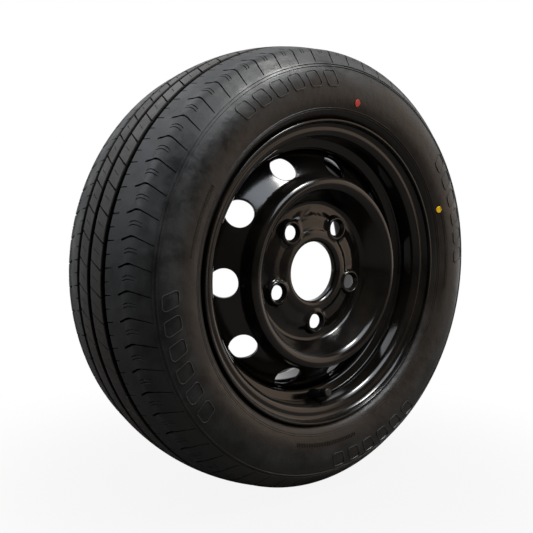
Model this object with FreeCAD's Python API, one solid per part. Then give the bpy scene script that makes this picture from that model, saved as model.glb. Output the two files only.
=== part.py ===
# Steel car wheel with its tyre: pressed disc, rolled rim, radial tyre and snap-in valve.
# Millimetres. The wheel spins about Y, its street side faces -Y, and +Z is up.
# The origin is the wheel's centre: on the axis, midway between the rim flanges.

import FreeCAD
import Part

import math
import os

V = FreeCAD.Vector
AXIS = V(0, 1, 0)

# Rim: a rolled 5 1/2 by 12 inch drop-centre rim with J flanges
RIM_WIDTH = 139.7
BEAD_SEAT_RADIUS = 152.0
BEAD_SEAT_TAPER = 5.0
RIM_SHEET = 2.8
FLANGE_HEIGHT = 17.3
FLANGE_LIP = 11.6
FLANGE_LIP_DROP = 0.8
FLANGE_BEND = 6.7
SEAT_CORNER = 6.5
SEAT_WIDTH = 15.0
HUMP_WIDTH = 9.0
HUMP_RISE = 1.6
HUMP_BEND = 2.5
WALL_RUN = 3.0
DISC_LEDGE_DEPTH = 12.5
DISC_LEDGE_BACK = -15.0
WELL_DEPTH = 18.0
WELL_STEP_RUN = 5.0
WELL_BEND = 3.0
WELL_BACK = 12.0
REAR_LEDGE_RUN = 16.0
REAR_LEDGE_DEPTH = 6.0

# Disc: pressed steel, seen from the bore outwards
DISC_SHEET = 4.0
WHEEL_OFFSET = 45.0
BORE_RADIUS = 33.55
BORE_COLLAR = 10.0
BOLT_CIRCLE = 114.3
BOLT_COUNT = 5
BOLT_HOLE_RADIUS = 8.0
BOLT_SEAT_RADIUS = 10.8
BOLT_SEAT_ANGLE = 30.0
BOSS_RADIUS = 14.0
BOSS_TAPER = 2.0
BOSS_RISE = 3.6
INNER_PAD_RADIUS = 46.0
BOLT_RING_DROP = 2.5
BOLT_RING_RADIUS = 62.5
MOUNT_RING_INNER = 66.5
MOUNT_RING_OUTER = 79.0
CROWN_INNER = 94.0
CROWN_OUTER = 106.5
CROWN_FOOT = 108.5
CROWN_HEIGHT = 33.5
VENT_COUNT = 10
VENT_RADIUS = 15.8
VENT_CIRCLE_RADIUS = 122.8
VENT_DEPTH = 30.7
VENT_SLOPE = 37.0
SKIRT_LENGTH = 16.0
SKIRT_CLEARANCE = 0.15
COLLAR_BEND = 1.0
PAD_BEND = 2.0
BOWL_BEND = 6.0
CROWN_BEND = 6.5
CROWN_EDGE_BEND = 2.5
CROWN_FOOT_BEND = 5.0
SKIRT_BEND = 3.0
FIRST_BOLT_ANGLE = -87.1

# Weld runs between the disc's skirt and the rim's ledge
WELD_COUNT = 5
WELD_LEG = 4.0
WELD_ARC = 40.0
WELD_CLEARANCE = 0.05

# Tyre: a 165/60 R12 car tyre
TYRE_RADIUS = 251.4
CROWN_ARC_RADIUS = 217.0
TREAD_HALF_WIDTH = 55.0
SECTION_HALF_WIDTH = 88.0
SECTION_RADIUS = 200.0
SHOULDER_HALF_WIDTH = 70.8
SHOULDER_DROP = 16.4
SHOULDER_BULGE = 2.6
UPPER_WALL_BULGE = 5.3
LOWER_WALL_BULGE = 2.2
LIP_OVERHANG = 0.5
LIP_GAP = 4.3
FLANGE_LEAVE_ANGLE = 130.0
BEAD_WIDTH = 14.0
BEAD_TOE_HEIGHT = 5.0
BEAD_CLEARANCE = 0.2
CROWN_THICKNESS = 13.0
SHOULDER_THICKNESS = 11.0
LINING_SHOULDER_DROP = 3.7
SIDEWALL_THICKNESS = 6.5
BEAD_THICKNESS = 13.5
GROOVE_SPACING = 26.1
GROOVE_WIDTH = 7.6
GROOVE_FLOOR = 5.4
GROOVE_DEPTH = 7.0
CHEVRON_COUNT = 59
FIRST_CHEVRON_ANGLE = 3.6
CHEVRON_WIDTH = 2.4
CHEVRON_DEPTH = 4.5
CHEVRON_INNER = 49.0
CHEVRON_APEX = 62.4
CHEVRON_OUTER = 79.0
CHEVRON_OUTER_DEPTH = 1.5
CHEVRON_INNER_SWEEP = 5.6
CHEVRON_OUTER_SWEEP = 7.0
CHEVRON_HEADROOM = 4.0

# Snap-in valve, along its own axis from the outer face of the rim's wall
VALVE_HOLE_RADIUS = 5.75
VALVE_CUT_AHEAD = 0.56
VALVE_CUT_BEHIND = 1.4
VALVE_SEAT_RADIUS = 144.3
VALVE_FLANGE_RADIUS = 7.2
VALVE_FLANGE_THICKNESS = 3.5
VALVE_TAIL = 1.7
VALVE_TAIL_RADIUS = 4.5
VALVE_NECK_RADIUS = 6.0
VALVE_NECK_HEIGHT = 2.0
VALVE_WAIST_RADIUS = 5.2
VALVE_WAIST_HEIGHT = 7.0
VALVE_BODY_TOP_RADIUS = 4.6
VALVE_BODY_HEIGHT = 17.0
VALVE_CLEARANCE = 0.05
STEM_RADIUS = 3.2
STEM_HEIGHT = 26.0
STEM_THREAD_RADIUS = 3.85
STEM_THREAD_LENGTH = 8.8
STEM_PASSAGE_RADIUS = 1.6
CHAMBER_RADIUS = 2.05
CHAMBER_FLOOR = 7.2
CORE_THREAD_RADIUS = 2.6
CORE_THREAD_LENGTH = 9.0

# Valve core, from its plug down to the cup that closes the air way
CORE_CLEARANCE = 0.08
CORE_RECESS = 1.0
PLUG_LENGTH = 5.5
PLUG_SLOT = 1.3
PLUG_SLOT_DEPTH = 2.2
PIN_RADIUS = 0.6
PIN_STAND_OUT = 0.3
PIN_BORE_RADIUS = 0.85
PIN_COLLAR_RADIUS = 1.15
PIN_COLLAR_LENGTH = 0.5
BARREL_RADIUS = 1.9
BARREL_BORE_RADIUS = 1.35
BARREL_LENGTH = 8.4
BARREL_FLOOR = 1.0
BARREL_NECK_RADIUS = 1.65
GASKET_LENGTH = 1.7
CUP_RADIUS = 1.85
CUP_LENGTH = 2.0
CUP_WALL = 0.3
CUP_SEAL_LENGTH = 0.7
PIN_TAIL = 0.5
SPRING_WIRE_RADIUS = 0.14
SPRING_COIL_RADIUS = 0.95
SPRING_TURNS = 6

# Valve cap
CAP_RADIUS = 4.9
CAP_TOP = 1.3
CAP_BORE_CLEARANCE = 0.1
CAP_GAP = 0.5
CAP_SEAL_THICKNESS = 0.9
CAP_SEAL_CLEARANCE = 0.1
CAP_EDGE = 0.8

# Places that several pieces share
HALF_RIM = RIM_WIDTH / 2
FLANGE_RADIUS = BEAD_SEAT_RADIUS + FLANGE_HEIGHT
SEAT_FALL = math.tan(math.radians(BEAD_SEAT_TAPER))
WELL_RADIUS = BEAD_SEAT_RADIUS - WELL_DEPTH
LEDGE_RADIUS = BEAD_SEAT_RADIUS - DISC_LEDGE_DEPTH
LEDGE_INSIDE = LEDGE_RADIUS - RIM_SHEET
WALL_TOP = (-HALF_RIM + SEAT_WIDTH + HUMP_WIDTH, BEAD_SEAT_RADIUS - HUMP_RISE)
WALL_FOOT = (WALL_TOP[0] + WALL_RUN, LEDGE_RADIUS)
MOUNT_FACE = -WHEEL_OFFSET
SKIRT_RADIUS = LEDGE_INSIDE - SKIRT_CLEARANCE


# Plane outlines, written as points (distance along the axis, radius)
def point(along, radius):
    """A point of the half plane that is turned about the wheel's axis."""
    return V(radius, along, 0)


def unit(start, end):
    """Direction from one outline point to the next."""
    run = math.dist(start, end)
    return ((end[0] - start[0]) / run, (end[1] - start[1]) / run)


def shifted_corners(corners, distance):
    """Corner points of the same bent line, moved to its right-hand side."""
    moved = []
    for index, corner in enumerate(corners):
        before = unit(*corners[index - 1:index + 1]) if index else unit(*corners[:2])
        after = unit(*corners[index:index + 2]) if index + 1 < len(corners) else before
        side = (before[1] + after[1], -before[0] - after[0])
        reach = distance / (1 + before[0] * after[0] + before[1] * after[1])
        moved.append((corner[0] + side[0] * reach, corner[1] + side[1] * reach))
    return moved


def turns_right(before, corner, after):
    """Whether the line bends to the right at a corner."""
    first = unit(before, corner)
    second = unit(corner, after)
    return first[0] * second[1] - first[1] * second[0] < 0


def rounded_line(corners, radii):
    """Edges of a bent line whose inner corners are rounded."""
    edges = []
    start = corners[0]
    for before, corner, after, radius in zip(corners, corners[1:], corners[2:], radii):
        inward = unit(corner, before)
        outward = unit(corner, after)
        cosine = inward[0] * outward[0] + inward[1] * outward[1]
        half_angle = math.acos(cosine) / 2
        setback = radius / math.tan(half_angle)
        bisector = (inward[0] + outward[0], inward[1] + outward[1])
        length = math.hypot(*bisector)
        depth = radius / math.sin(half_angle) - radius
        first = (corner[0] + inward[0] * setback, corner[1] + inward[1] * setback)
        last = (corner[0] + outward[0] * setback, corner[1] + outward[1] * setback)
        middle = (corner[0] + bisector[0] / length * depth, corner[1] + bisector[1] / length * depth)
        edges.append(Part.LineSegment(point(*start), point(*first)).toShape())
        edges.append(Part.Arc(point(*first), point(*middle), point(*last)).toShape())
        start = last
    edges.append(Part.LineSegment(point(*start), point(*corners[-1])).toShape())
    return edges


def sheet(corners, bends, thickness):
    """A bent sheet turned about the axis. The sheet lies to the right of its line of corners,
    and each bend is the radius inside that bend."""
    inner = shifted_corners(corners, thickness)
    face_radii = []
    back_radii = []
    for before, corner, after, bend in zip(corners, corners[1:], corners[2:], bends):
        right = turns_right(before, corner, after)
        face_radii.append(bend + thickness if right else bend)
        back_radii.append(bend if right else bend + thickness)
    edges = rounded_line(corners, face_radii)
    edges += rounded_line(inner, back_radii)
    edges.append(Part.LineSegment(point(*corners[0]), point(*inner[0])).toShape())
    edges.append(Part.LineSegment(point(*corners[-1]), point(*inner[-1])).toShape())
    outline = Part.Wire(Part.sortEdges(edges)[0])
    return Part.Face(outline).revolve(V(0, 0, 0), AXIS, 360)


def turned(outline):
    """A closed outline of (radius, height) points turned about Z."""
    corners = [V(radius, 0, height) for radius, height in outline]
    return Part.Face(Part.makePolygon(corners + corners[:1])).revolve(V(0, 0, 0), V(0, 0, 1), 360)


def around(shape, count, first_angle=0.0):
    """Copies of a shape spaced evenly about the wheel's axis. Angles run from +X towards +Z."""
    copies = []
    for index in range(count):
        copy = shape.copy()
        copy.rotate(V(0, 0, 0), AXIS, -(first_angle + 360 * index / count))
        copies.append(copy)
    return copies


# Rim
def flange(side):
    """Lip, flange wall, bead seat and hump of one side, from the lip inwards."""
    corners = [
        (HALF_RIM + FLANGE_LIP, FLANGE_RADIUS - FLANGE_LIP_DROP),
        (HALF_RIM, FLANGE_RADIUS),
        (HALF_RIM, BEAD_SEAT_RADIUS),
        (HALF_RIM - SEAT_WIDTH, BEAD_SEAT_RADIUS - SEAT_WIDTH * SEAT_FALL),
        (HALF_RIM - SEAT_WIDTH - HUMP_WIDTH / 2, BEAD_SEAT_RADIUS),
        (-WALL_TOP[0], WALL_TOP[1]),
    ]
    return [(side * along, radius) for along, radius in corners]


def valve_axis():
    """The valve hole's centre on the wall's outer face, and the way the valve points."""
    along = unit(WALL_TOP, WALL_FOOT)
    outward = (along[1], -along[0])
    share = (WALL_TOP[1] - VALVE_SEAT_RADIUS) / (WALL_TOP[1] - WALL_FOOT[1])
    run = WALL_TOP[0] + share * WALL_RUN
    centre = (run + outward[0] * RIM_SHEET, VALVE_SEAT_RADIUS + outward[1] * RIM_SHEET)
    angle = math.radians(FIRST_BOLT_ANGLE)
    radial = V(math.cos(angle), 0, math.sin(angle))
    return radial * centre[1] + AXIS * centre[0], radial * outward[1] + AXIS * outward[0]


def on_valve(shape):
    """Moves a shape built up along Z to the valve's place on the rim."""
    centre, direction = valve_axis()
    shape.Placement = FreeCAD.Placement(centre, FreeCAD.Rotation(V(0, 0, 1), direction))
    return shape


def make_rim():
    well = [
        WALL_FOOT,
        (DISC_LEDGE_BACK, LEDGE_RADIUS),
        (DISC_LEDGE_BACK + WELL_STEP_RUN, WELL_RADIUS),
        (WELL_BACK, WELL_RADIUS),
        (WELL_BACK + REAR_LEDGE_RUN, BEAD_SEAT_RADIUS - REAR_LEDGE_DEPTH),
    ]
    flange_bends = [FLANGE_BEND, SEAT_CORNER, HUMP_BEND, HUMP_BEND, HUMP_BEND]
    well_bends = [WELL_BEND] * len(well)
    corners = flange(-1) + well + flange(1)[::-1]
    rim = sheet(corners, flange_bends + well_bends + flange_bends[::-1], RIM_SHEET)
    hole_foot = -RIM_SHEET - VALVE_CUT_BEHIND
    hole = Part.makeCylinder(VALVE_HOLE_RADIUS, VALVE_CUT_AHEAD - hole_foot, V(0, 0, hole_foot))
    return rim.cut(on_valve(hole))


# Disc
def vent_slope():
    """Corners of the disc's outer half: crown edge, foot of the crown, vent centre and skirt."""
    steepness = math.tan(math.radians(VENT_SLOPE))
    crown = (MOUNT_FACE - CROWN_HEIGHT, CROWN_OUTER)
    vent = (crown[0] + VENT_DEPTH, VENT_CIRCLE_RADIUS)
    foot = (vent[0] + (CROWN_FOOT - VENT_CIRCLE_RADIUS) * steepness, CROWN_FOOT)
    shoulder = (vent[0] + (SKIRT_RADIUS - VENT_CIRCLE_RADIUS) * steepness, SKIRT_RADIUS)
    return crown, foot, vent, shoulder


def make_disc():
    crown, foot, vent, shoulder = vent_slope()
    pad = MOUNT_FACE - BORE_COLLAR
    bolt_ring = pad + BOLT_RING_DROP
    mount_front = MOUNT_FACE - DISC_SHEET
    step = BOLT_RING_DROP
    corners = [
        (MOUNT_FACE, BORE_RADIUS),
        (pad, BORE_RADIUS),
        (pad, INNER_PAD_RADIUS),
        (bolt_ring, INNER_PAD_RADIUS + step),
        (bolt_ring, BOLT_RING_RADIUS),
        (mount_front, MOUNT_RING_INNER),
        (mount_front, MOUNT_RING_OUTER),
        (crown[0], CROWN_INNER),
        crown,
        foot,
        shoulder,
        (shoulder[0] + SKIRT_LENGTH, SKIRT_RADIUS),
    ]
    bends = [
        COLLAR_BEND, PAD_BEND, PAD_BEND, PAD_BEND, PAD_BEND,
        BOWL_BEND, CROWN_BEND, CROWN_EDGE_BEND, CROWN_FOOT_BEND, SKIRT_BEND,
    ]
    disc = sheet(corners, bends, DISC_SHEET)
    bolt_radius = BOLT_CIRCLE / 2
    seat_front = bolt_ring - BOSS_RISE
    boss = Part.makeCone(
        BOSS_RADIUS, BOSS_RADIUS - BOSS_TAPER, BOSS_RISE + DISC_SHEET / 2,
        V(bolt_radius, bolt_ring + DISC_SHEET / 2, 0), -AXIS,
    )
    disc = disc.fuse(around(boss, BOLT_COUNT, FIRST_BOLT_ANGLE))
    seat_depth = (BOLT_SEAT_RADIUS - BOLT_HOLE_RADIUS) / math.tan(math.radians(BOLT_SEAT_ANGLE))
    seat = Part.makeCone(
        BOLT_SEAT_RADIUS, BOLT_HOLE_RADIUS, seat_depth, V(bolt_radius, seat_front, 0), AXIS,
    )
    hole = Part.makeCylinder(
        BOLT_HOLE_RADIUS, BOSS_RISE + 2 * DISC_SHEET, V(bolt_radius, seat_front, 0), AXIS,
    )
    slope = unit(foot, shoulder)
    across = point(-slope[1], slope[0])
    vent_start = point(*vent) - across * 2 * DISC_SHEET
    vent_hole = Part.makeCylinder(VENT_RADIUS, 4 * DISC_SHEET, vent_start, across)
    half_step = 180 / VENT_COUNT
    cuts = around(seat, BOLT_COUNT, FIRST_BOLT_ANGLE)
    cuts += around(hole, BOLT_COUNT, FIRST_BOLT_ANGLE)
    cuts += around(vent_hole, VENT_COUNT, FIRST_BOLT_ANGLE + half_step)
    return disc.cut(cuts).removeSplitter()


def make_disc_welds():
    end = vent_slope()[3][0] + SKIRT_LENGTH
    outer = LEDGE_INSIDE - WELD_CLEARANCE
    corners = [point(end, outer), point(end + WELD_LEG, outer), point(end, outer - WELD_LEG)]
    face = Part.Face(Part.makePolygon(corners + corners[:1]))
    run = face.revolve(V(0, 0, 0), AXIS, WELD_ARC)
    return Part.Compound(around(run, WELD_COUNT, FIRST_BOLT_ANGLE + WELD_ARC / 2))


# Tyre
def tread_radius(along):
    """Radius of the tread's crown at a distance from its middle."""
    return TYRE_RADIUS - CROWN_ARC_RADIUS + math.sqrt(CROWN_ARC_RADIUS ** 2 - along ** 2)


def bulged(start, end, bulge):
    """The point that a curve from start to end passes, off the middle of its chord to the left."""
    chord = unit(start, end)
    middle = ((start[0] + end[0]) / 2, (start[1] + end[1]) / 2)
    return (middle[0] - chord[1] * bulge, middle[1] + chord[0] * bulge)


def line_edge(start, end):
    return Part.LineSegment(point(*start), point(*end)).toShape()


def arc_edge(start, middle, end):
    return Part.Arc(point(*start), point(*middle), point(*end)).toShape()


def tread_arc(start, end):
    """Part of the tread's crown between two distances from its middle."""
    middle = (start + end) / 2
    return arc_edge(*((along, tread_radius(along)) for along in (start, middle, end)))


def groove_edges(centre):
    """Both walls and the floor of one groove around the tread."""
    floor = tread_radius(centre) - GROOVE_DEPTH
    outline = [
        (centre - GROOVE_WIDTH / 2, tread_radius(centre - GROOVE_WIDTH / 2)),
        (centre - GROOVE_FLOOR / 2, floor),
        (centre + GROOVE_FLOOR / 2, floor),
        (centre + GROOVE_WIDTH / 2, tread_radius(centre + GROOVE_WIDTH / 2)),
    ]
    return [line_edge(start, end) for start, end in zip(outline, outline[1:])]


def shoulder_points():
    """Outer corners of the profile: tread edge, shoulder, widest place and foot above the lip."""
    edge = (TREAD_HALF_WIDTH, tread_radius(TREAD_HALF_WIDTH))
    shoulder = (SHOULDER_HALF_WIDTH, TYRE_RADIUS - SHOULDER_DROP)
    widest = (SECTION_HALF_WIDTH, SECTION_RADIUS)
    foot = (HALF_RIM + FLANGE_LIP - LIP_OVERHANG, FLANGE_RADIUS + LIP_GAP)
    return edge, shoulder, widest, foot


def bead_edges():
    """The bead from the foot of the sidewall, over the flange and seat, to the toe."""
    foot = shoulder_points()[3]
    bend = FLANGE_BEND + RIM_SHEET
    centre = (HALF_RIM + bend, FLANGE_RADIUS - bend)
    reach = bend + BEAD_CLEARANCE

    def over_flange(angle):
        turn = math.radians(angle)
        return (centre[0] + reach * math.cos(turn), centre[1] + reach * math.sin(turn))

    leave = over_flange(FLANGE_LEAVE_ANGLE)
    wall = over_flange(180)
    toe = (HALF_RIM - BEAD_WIDTH, BEAD_SEAT_RADIUS - BEAD_WIDTH * SEAT_FALL + BEAD_CLEARANCE)
    heel_drop = SEAT_CORNER + BEAD_CLEARANCE
    heel_top = (wall[0], BEAD_SEAT_RADIUS + heel_drop)
    heel_foot = (wall[0] - heel_drop, BEAD_SEAT_RADIUS - heel_drop * SEAT_FALL + BEAD_CLEARANCE)
    heel = bulged(heel_foot, heel_top, -(1 - math.sqrt(0.5)) * heel_drop)
    toe_top = (toe[0], toe[1] + BEAD_TOE_HEIGHT)
    edges = [
        line_edge(foot, leave),
        arc_edge(leave, over_flange((FLANGE_LEAVE_ANGLE + 180) / 2), wall),
        line_edge(wall, heel_top),
        arc_edge(heel_top, heel, heel_foot),
        line_edge(heel_foot, toe),
        line_edge(toe, toe_top),
    ]
    return edges, toe_top


def outer_edges():
    """One half of the outer profile, from the tread's edge to the bead toe."""
    edge, shoulder, widest, foot = shoulder_points()
    walls = ((edge, shoulder, SHOULDER_BULGE), (shoulder, widest, UPPER_WALL_BULGE),
             (widest, foot, LOWER_WALL_BULGE))
    edges = [arc_edge(start, bulged(start, end, bulge), end) for start, end, bulge in walls]
    return edges + bead_edges()[0]


def inner_edges():
    """One half of the inside, from the bead toe up to the shoulder, and where it ends."""
    edge, shoulder, widest, foot = shoulder_points()
    toe_top = bead_edges()[1]
    bead_top = (foot[0] - BEAD_THICKNESS, foot[1])
    side = (widest[0] - SIDEWALL_THICKNESS, widest[1])
    inner_shoulder = (shoulder[0] - SHOULDER_THICKNESS, shoulder[1] - LINING_SHOULDER_DROP)
    edges = [
        line_edge(toe_top, bead_top),
        arc_edge(bead_top, bulged(bead_top, side, -LOWER_WALL_BULGE), side),
        arc_edge(side, bulged(side, inner_shoulder, -UPPER_WALL_BULGE), inner_shoulder),
    ]
    return edges, inner_shoulder


def mirrored(edges):
    return [edge.mirror(V(0, 0, 0), AXIS) for edge in edges]


def chevron_leg(start, end):
    """A slot cutter between two places, each (distance, floor radius, offset round the tyre)."""
    top = TYRE_RADIUS + CHEVRON_HEADROOM
    corners = [
        V(start[1], start[0], start[2]), V(end[1], end[0], end[2]),
        V(top, end[0], end[2]), V(top, start[0], start[2]),
    ]
    return Part.Face(Part.makePolygon(corners + corners[:1])).extrude(V(0, 0, CHEVRON_WIDTH))


def wall_radius(along):
    """Radius of the outer profile on the shoulder, measured on its own curves."""
    ray = line_edge((along, SECTION_RADIUS), (along, TYRE_RADIUS))
    reach = [edge.section(ray).Vertexes for edge in outer_edges()[:2]]
    return max(vertex.X for vertexes in reach for vertex in vertexes)


def make_chevron():
    """Cutter for one bent groove of the front shoulder."""
    inner = (-CHEVRON_INNER, tread_radius(CHEVRON_INNER) - CHEVRON_DEPTH, CHEVRON_INNER_SWEEP)
    apex = (-CHEVRON_APEX, wall_radius(CHEVRON_APEX) - CHEVRON_DEPTH, 0)
    outer = (-CHEVRON_OUTER, wall_radius(CHEVRON_OUTER) - CHEVRON_OUTER_DEPTH, CHEVRON_OUTER_SWEEP)
    return chevron_leg(inner, apex).fuse(chevron_leg(apex, outer))


def make_tyre():
    half = outer_edges()
    inside, inner_shoulder = inner_edges()
    crown = (0, TYRE_RADIUS - CROWN_THICKNESS)
    far_shoulder = (-inner_shoulder[0], inner_shoulder[1])
    edges = half + inside + mirrored(half + inside)
    edges.append(arc_edge(inner_shoulder, crown, far_shoulder))
    stop = -TREAD_HALF_WIDTH
    for centre in (-GROOVE_SPACING, 0, GROOVE_SPACING):
        edges.append(tread_arc(stop, centre - GROOVE_WIDTH / 2))
        edges += groove_edges(centre)
        stop = centre + GROOVE_WIDTH / 2
    edges.append(tread_arc(stop, TREAD_HALF_WIDTH))
    outline = Part.Wire(Part.sortEdges(edges)[0])
    tyre = Part.Face(outline).revolve(V(0, 0, 0), AXIS, 360)
    front = make_chevron()
    back = front.copy()
    back.rotate(V(0, 0, 0), V(1, 0, 0), 180)
    half_pitch = 180 / CHEVRON_COUNT
    cuts = around(front, CHEVRON_COUNT, FIRST_CHEVRON_ANGLE)
    cuts += around(back, CHEVRON_COUNT, FIRST_CHEVRON_ANGLE + half_pitch)
    return tyre.cut(cuts)


# Valve
def make_valve_body(rim):
    """Rubber body, snapped into the rim's hole, so its flanges follow the rim's wall."""
    inner = STEM_RADIUS + VALVE_CLEARANCE
    groove = VALVE_HOLE_RADIUS - VALVE_CLEARANCE
    back = -RIM_SHEET - VALVE_CLEARANCE
    flange_foot = back - VALVE_FLANGE_THICKNESS
    foot = flange_foot - VALVE_TAIL
    body = turned([
        (inner, foot), (VALVE_TAIL_RADIUS, foot), (VALVE_FLANGE_RADIUS, flange_foot),
        (VALVE_FLANGE_RADIUS, back), (groove, back), (groove, VALVE_CLEARANCE),
        (VALVE_NECK_RADIUS, VALVE_CLEARANCE), (VALVE_NECK_RADIUS, VALVE_NECK_HEIGHT),
        (VALVE_WAIST_RADIUS, VALVE_WAIST_HEIGHT), (VALVE_BODY_TOP_RADIUS, VALVE_BODY_HEIGHT),
        (inner, VALVE_BODY_HEIGHT),
    ])
    return on_valve(body).cut(rim)


def make_valve_stem():
    foot = -RIM_SHEET - VALVE_FLANGE_THICKNESS - VALVE_TAIL
    thread_foot = STEM_HEIGHT - STEM_THREAD_LENGTH
    core_foot = STEM_HEIGHT - CORE_THREAD_LENGTH
    passage_step = CHAMBER_RADIUS - STEM_PASSAGE_RADIUS
    chamber_step = CORE_THREAD_RADIUS - CHAMBER_RADIUS
    return on_valve(turned([
        (STEM_PASSAGE_RADIUS, foot), (STEM_RADIUS, foot), (STEM_RADIUS, thread_foot),
        (STEM_THREAD_RADIUS, thread_foot), (STEM_THREAD_RADIUS, STEM_HEIGHT),
        (CORE_THREAD_RADIUS, STEM_HEIGHT), (CORE_THREAD_RADIUS, core_foot),
        (CHAMBER_RADIUS, core_foot - chamber_step), (CHAMBER_RADIUS, CHAMBER_FLOOR),
        (STEM_PASSAGE_RADIUS, CHAMBER_FLOOR - passage_step),
    ]))


# Heights inside the valve stem that the core's pieces share
PLUG_TOP = STEM_HEIGHT - CORE_RECESS
PLUG_FOOT = PLUG_TOP - PLUG_LENGTH
BARREL_TOP = PLUG_FOOT - CORE_CLEARANCE
BARREL_FOOT = BARREL_TOP - BARREL_LENGTH
PIN_TOP = PLUG_TOP + PIN_STAND_OUT
SEAL_TOP = BARREL_FOOT - CORE_CLEARANCE
CUP_TOP = SEAL_TOP - CUP_SEAL_LENGTH / 2
CUP_FOOT = CUP_TOP - CUP_LENGTH
SPRING_FOOT = BARREL_FOOT + BARREL_FLOOR + SPRING_WIRE_RADIUS + CORE_CLEARANCE
COLLAR_TOP = BARREL_TOP - CORE_CLEARANCE
COLLAR_FOOT = COLLAR_TOP - PIN_COLLAR_LENGTH
SPRING_TOP = COLLAR_FOOT - SPRING_WIRE_RADIUS - CORE_CLEARANCE


def make_core_plug():
    outer = CORE_THREAD_RADIUS - CORE_CLEARANCE
    plug = turned([
        (PIN_BORE_RADIUS, PLUG_FOOT), (outer, PLUG_FOOT),
        (outer, PLUG_TOP), (PIN_BORE_RADIUS, PLUG_TOP),
    ])
    corner = V(-outer, -PLUG_SLOT / 2, PLUG_TOP - PLUG_SLOT_DEPTH)
    slot = Part.makeBox(2 * outer, PLUG_SLOT, PLUG_SLOT_DEPTH, corner)
    return on_valve(plug.cut(slot))


def make_core_barrel():
    neck_foot = BARREL_TOP - GASKET_LENGTH - CORE_CLEARANCE
    bore_foot = BARREL_FOOT + BARREL_FLOOR
    return on_valve(turned([
        (PIN_BORE_RADIUS, BARREL_FOOT), (BARREL_RADIUS, BARREL_FOOT), (BARREL_RADIUS, neck_foot),
        (BARREL_NECK_RADIUS, neck_foot), (BARREL_NECK_RADIUS, BARREL_TOP),
        (BARREL_BORE_RADIUS, BARREL_TOP), (BARREL_BORE_RADIUS, bore_foot),
        (PIN_BORE_RADIUS, bore_foot),
    ]))


def make_core_gasket():
    inner = BARREL_NECK_RADIUS + CORE_CLEARANCE
    foot = BARREL_TOP - GASKET_LENGTH
    outer = CORE_THREAD_RADIUS - CORE_CLEARANCE
    return on_valve(turned([(inner, foot), (outer, foot), (outer, BARREL_TOP), (inner, BARREL_TOP)]))


def make_core_pin():
    foot = CUP_FOOT - PIN_TAIL
    return on_valve(turned([
        (0, foot), (PIN_RADIUS, foot), (PIN_RADIUS, COLLAR_FOOT),
        (PIN_COLLAR_RADIUS, COLLAR_FOOT), (PIN_COLLAR_RADIUS, COLLAR_TOP),
        (PIN_RADIUS, COLLAR_TOP), (PIN_RADIUS, PIN_TOP), (0, PIN_TOP),
    ]))


def make_core_spring():
    rise = SPRING_TOP - SPRING_FOOT
    path = Part.makeHelix(rise / SPRING_TURNS, rise, SPRING_COIL_RADIUS)
    start = V(SPRING_COIL_RADIUS, 0, 0)
    wire = Part.Wire(Part.makeCircle(SPRING_WIRE_RADIUS, start, V(0, 1, 0)))
    spring = Part.Wire(path).makePipeShell([wire], True, True)
    spring.translate(V(0, 0, SPRING_FOOT))
    return on_valve(Part.Solid(spring).transformGeometry(FreeCAD.Matrix()))


def make_core_cup():
    inner = PIN_RADIUS + CORE_CLEARANCE
    pocket = CUP_TOP - CUP_SEAL_LENGTH
    lip = CUP_RADIUS - CUP_WALL
    return on_valve(turned([
        (inner, CUP_FOOT), (CUP_RADIUS, CUP_FOOT), (CUP_RADIUS, CUP_TOP), (lip, CUP_TOP),
        (lip, pocket), (inner, pocket),
    ]))


def make_core_cup_seal():
    inner = PIN_RADIUS + CORE_CLEARANCE
    outer = CUP_RADIUS - CUP_WALL - CORE_CLEARANCE
    foot = CUP_TOP - CUP_SEAL_LENGTH
    return on_valve(turned([(inner, foot), (outer, foot), (outer, SEAL_TOP), (inner, SEAL_TOP)]))


# Cap
CAP_FOOT = VALVE_BODY_HEIGHT + CAP_GAP
CAP_SEAL_FOOT = STEM_HEIGHT + CAP_SEAL_CLEARANCE
CAP_ROOF = CAP_SEAL_FOOT + CAP_SEAL_THICKNESS + CAP_SEAL_CLEARANCE
CAP_BORE_RADIUS = STEM_THREAD_RADIUS + CAP_BORE_CLEARANCE


def make_valve_cap():
    top = CAP_ROOF + CAP_TOP
    return on_valve(turned([
        (CAP_BORE_RADIUS, CAP_FOOT), (CAP_RADIUS, CAP_FOOT), (CAP_RADIUS, top - CAP_EDGE),
        (CAP_RADIUS - CAP_EDGE, top), (0, top), (0, CAP_ROOF), (CAP_BORE_RADIUS, CAP_ROOF),
    ]))


def make_valve_cap_seal():
    radius = CAP_BORE_RADIUS - CAP_SEAL_CLEARANCE
    disc = Part.makeCylinder(radius, CAP_SEAL_THICKNESS, V(0, 0, CAP_SEAL_FOOT))
    return on_valve(disc)


def main():
    rim = make_rim()
    nodes = {
        "tyre": make_tyre(),
        "rim": rim,
        "disc": make_disc(),
        "disc_welds": make_disc_welds(),
        "valve_body": make_valve_body(rim),
        "valve_stem": make_valve_stem(),
        "core_plug": make_core_plug(),
        "core_barrel": make_core_barrel(),
        "core_gasket": make_core_gasket(),
        "core_pin": make_core_pin(),
        "core_spring": make_core_spring(),
        "core_cup": make_core_cup(),
        "core_cup_seal": make_core_cup_seal(),
        "valve_cap": make_valve_cap(),
        "valve_cap_seal": make_valve_cap_seal(),
    }
    os.makedirs("parts", exist_ok=True)
    for name, shape in nodes.items():
        shape.exportStep(f"parts/{name}.step")
        print(name, len(shape.Solids), "solid(s)", round(shape.Volume, 2), "mm3", shape.isValid())


main()
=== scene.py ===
# %% [markdown]
# # A steel car wheel with its tyre
# The CAD model gives every piece its true size and place. This lesson puts the looks around it:
# smooth painted sheet steel, a moulded tyre and a small rubber valve.
# Everything is in metres in the CAD frame: the axle lies along Y, the street side faces -Y, +Z is up.

import math

import bmesh
import bpy
from mathutils import Matrix, Vector


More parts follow.
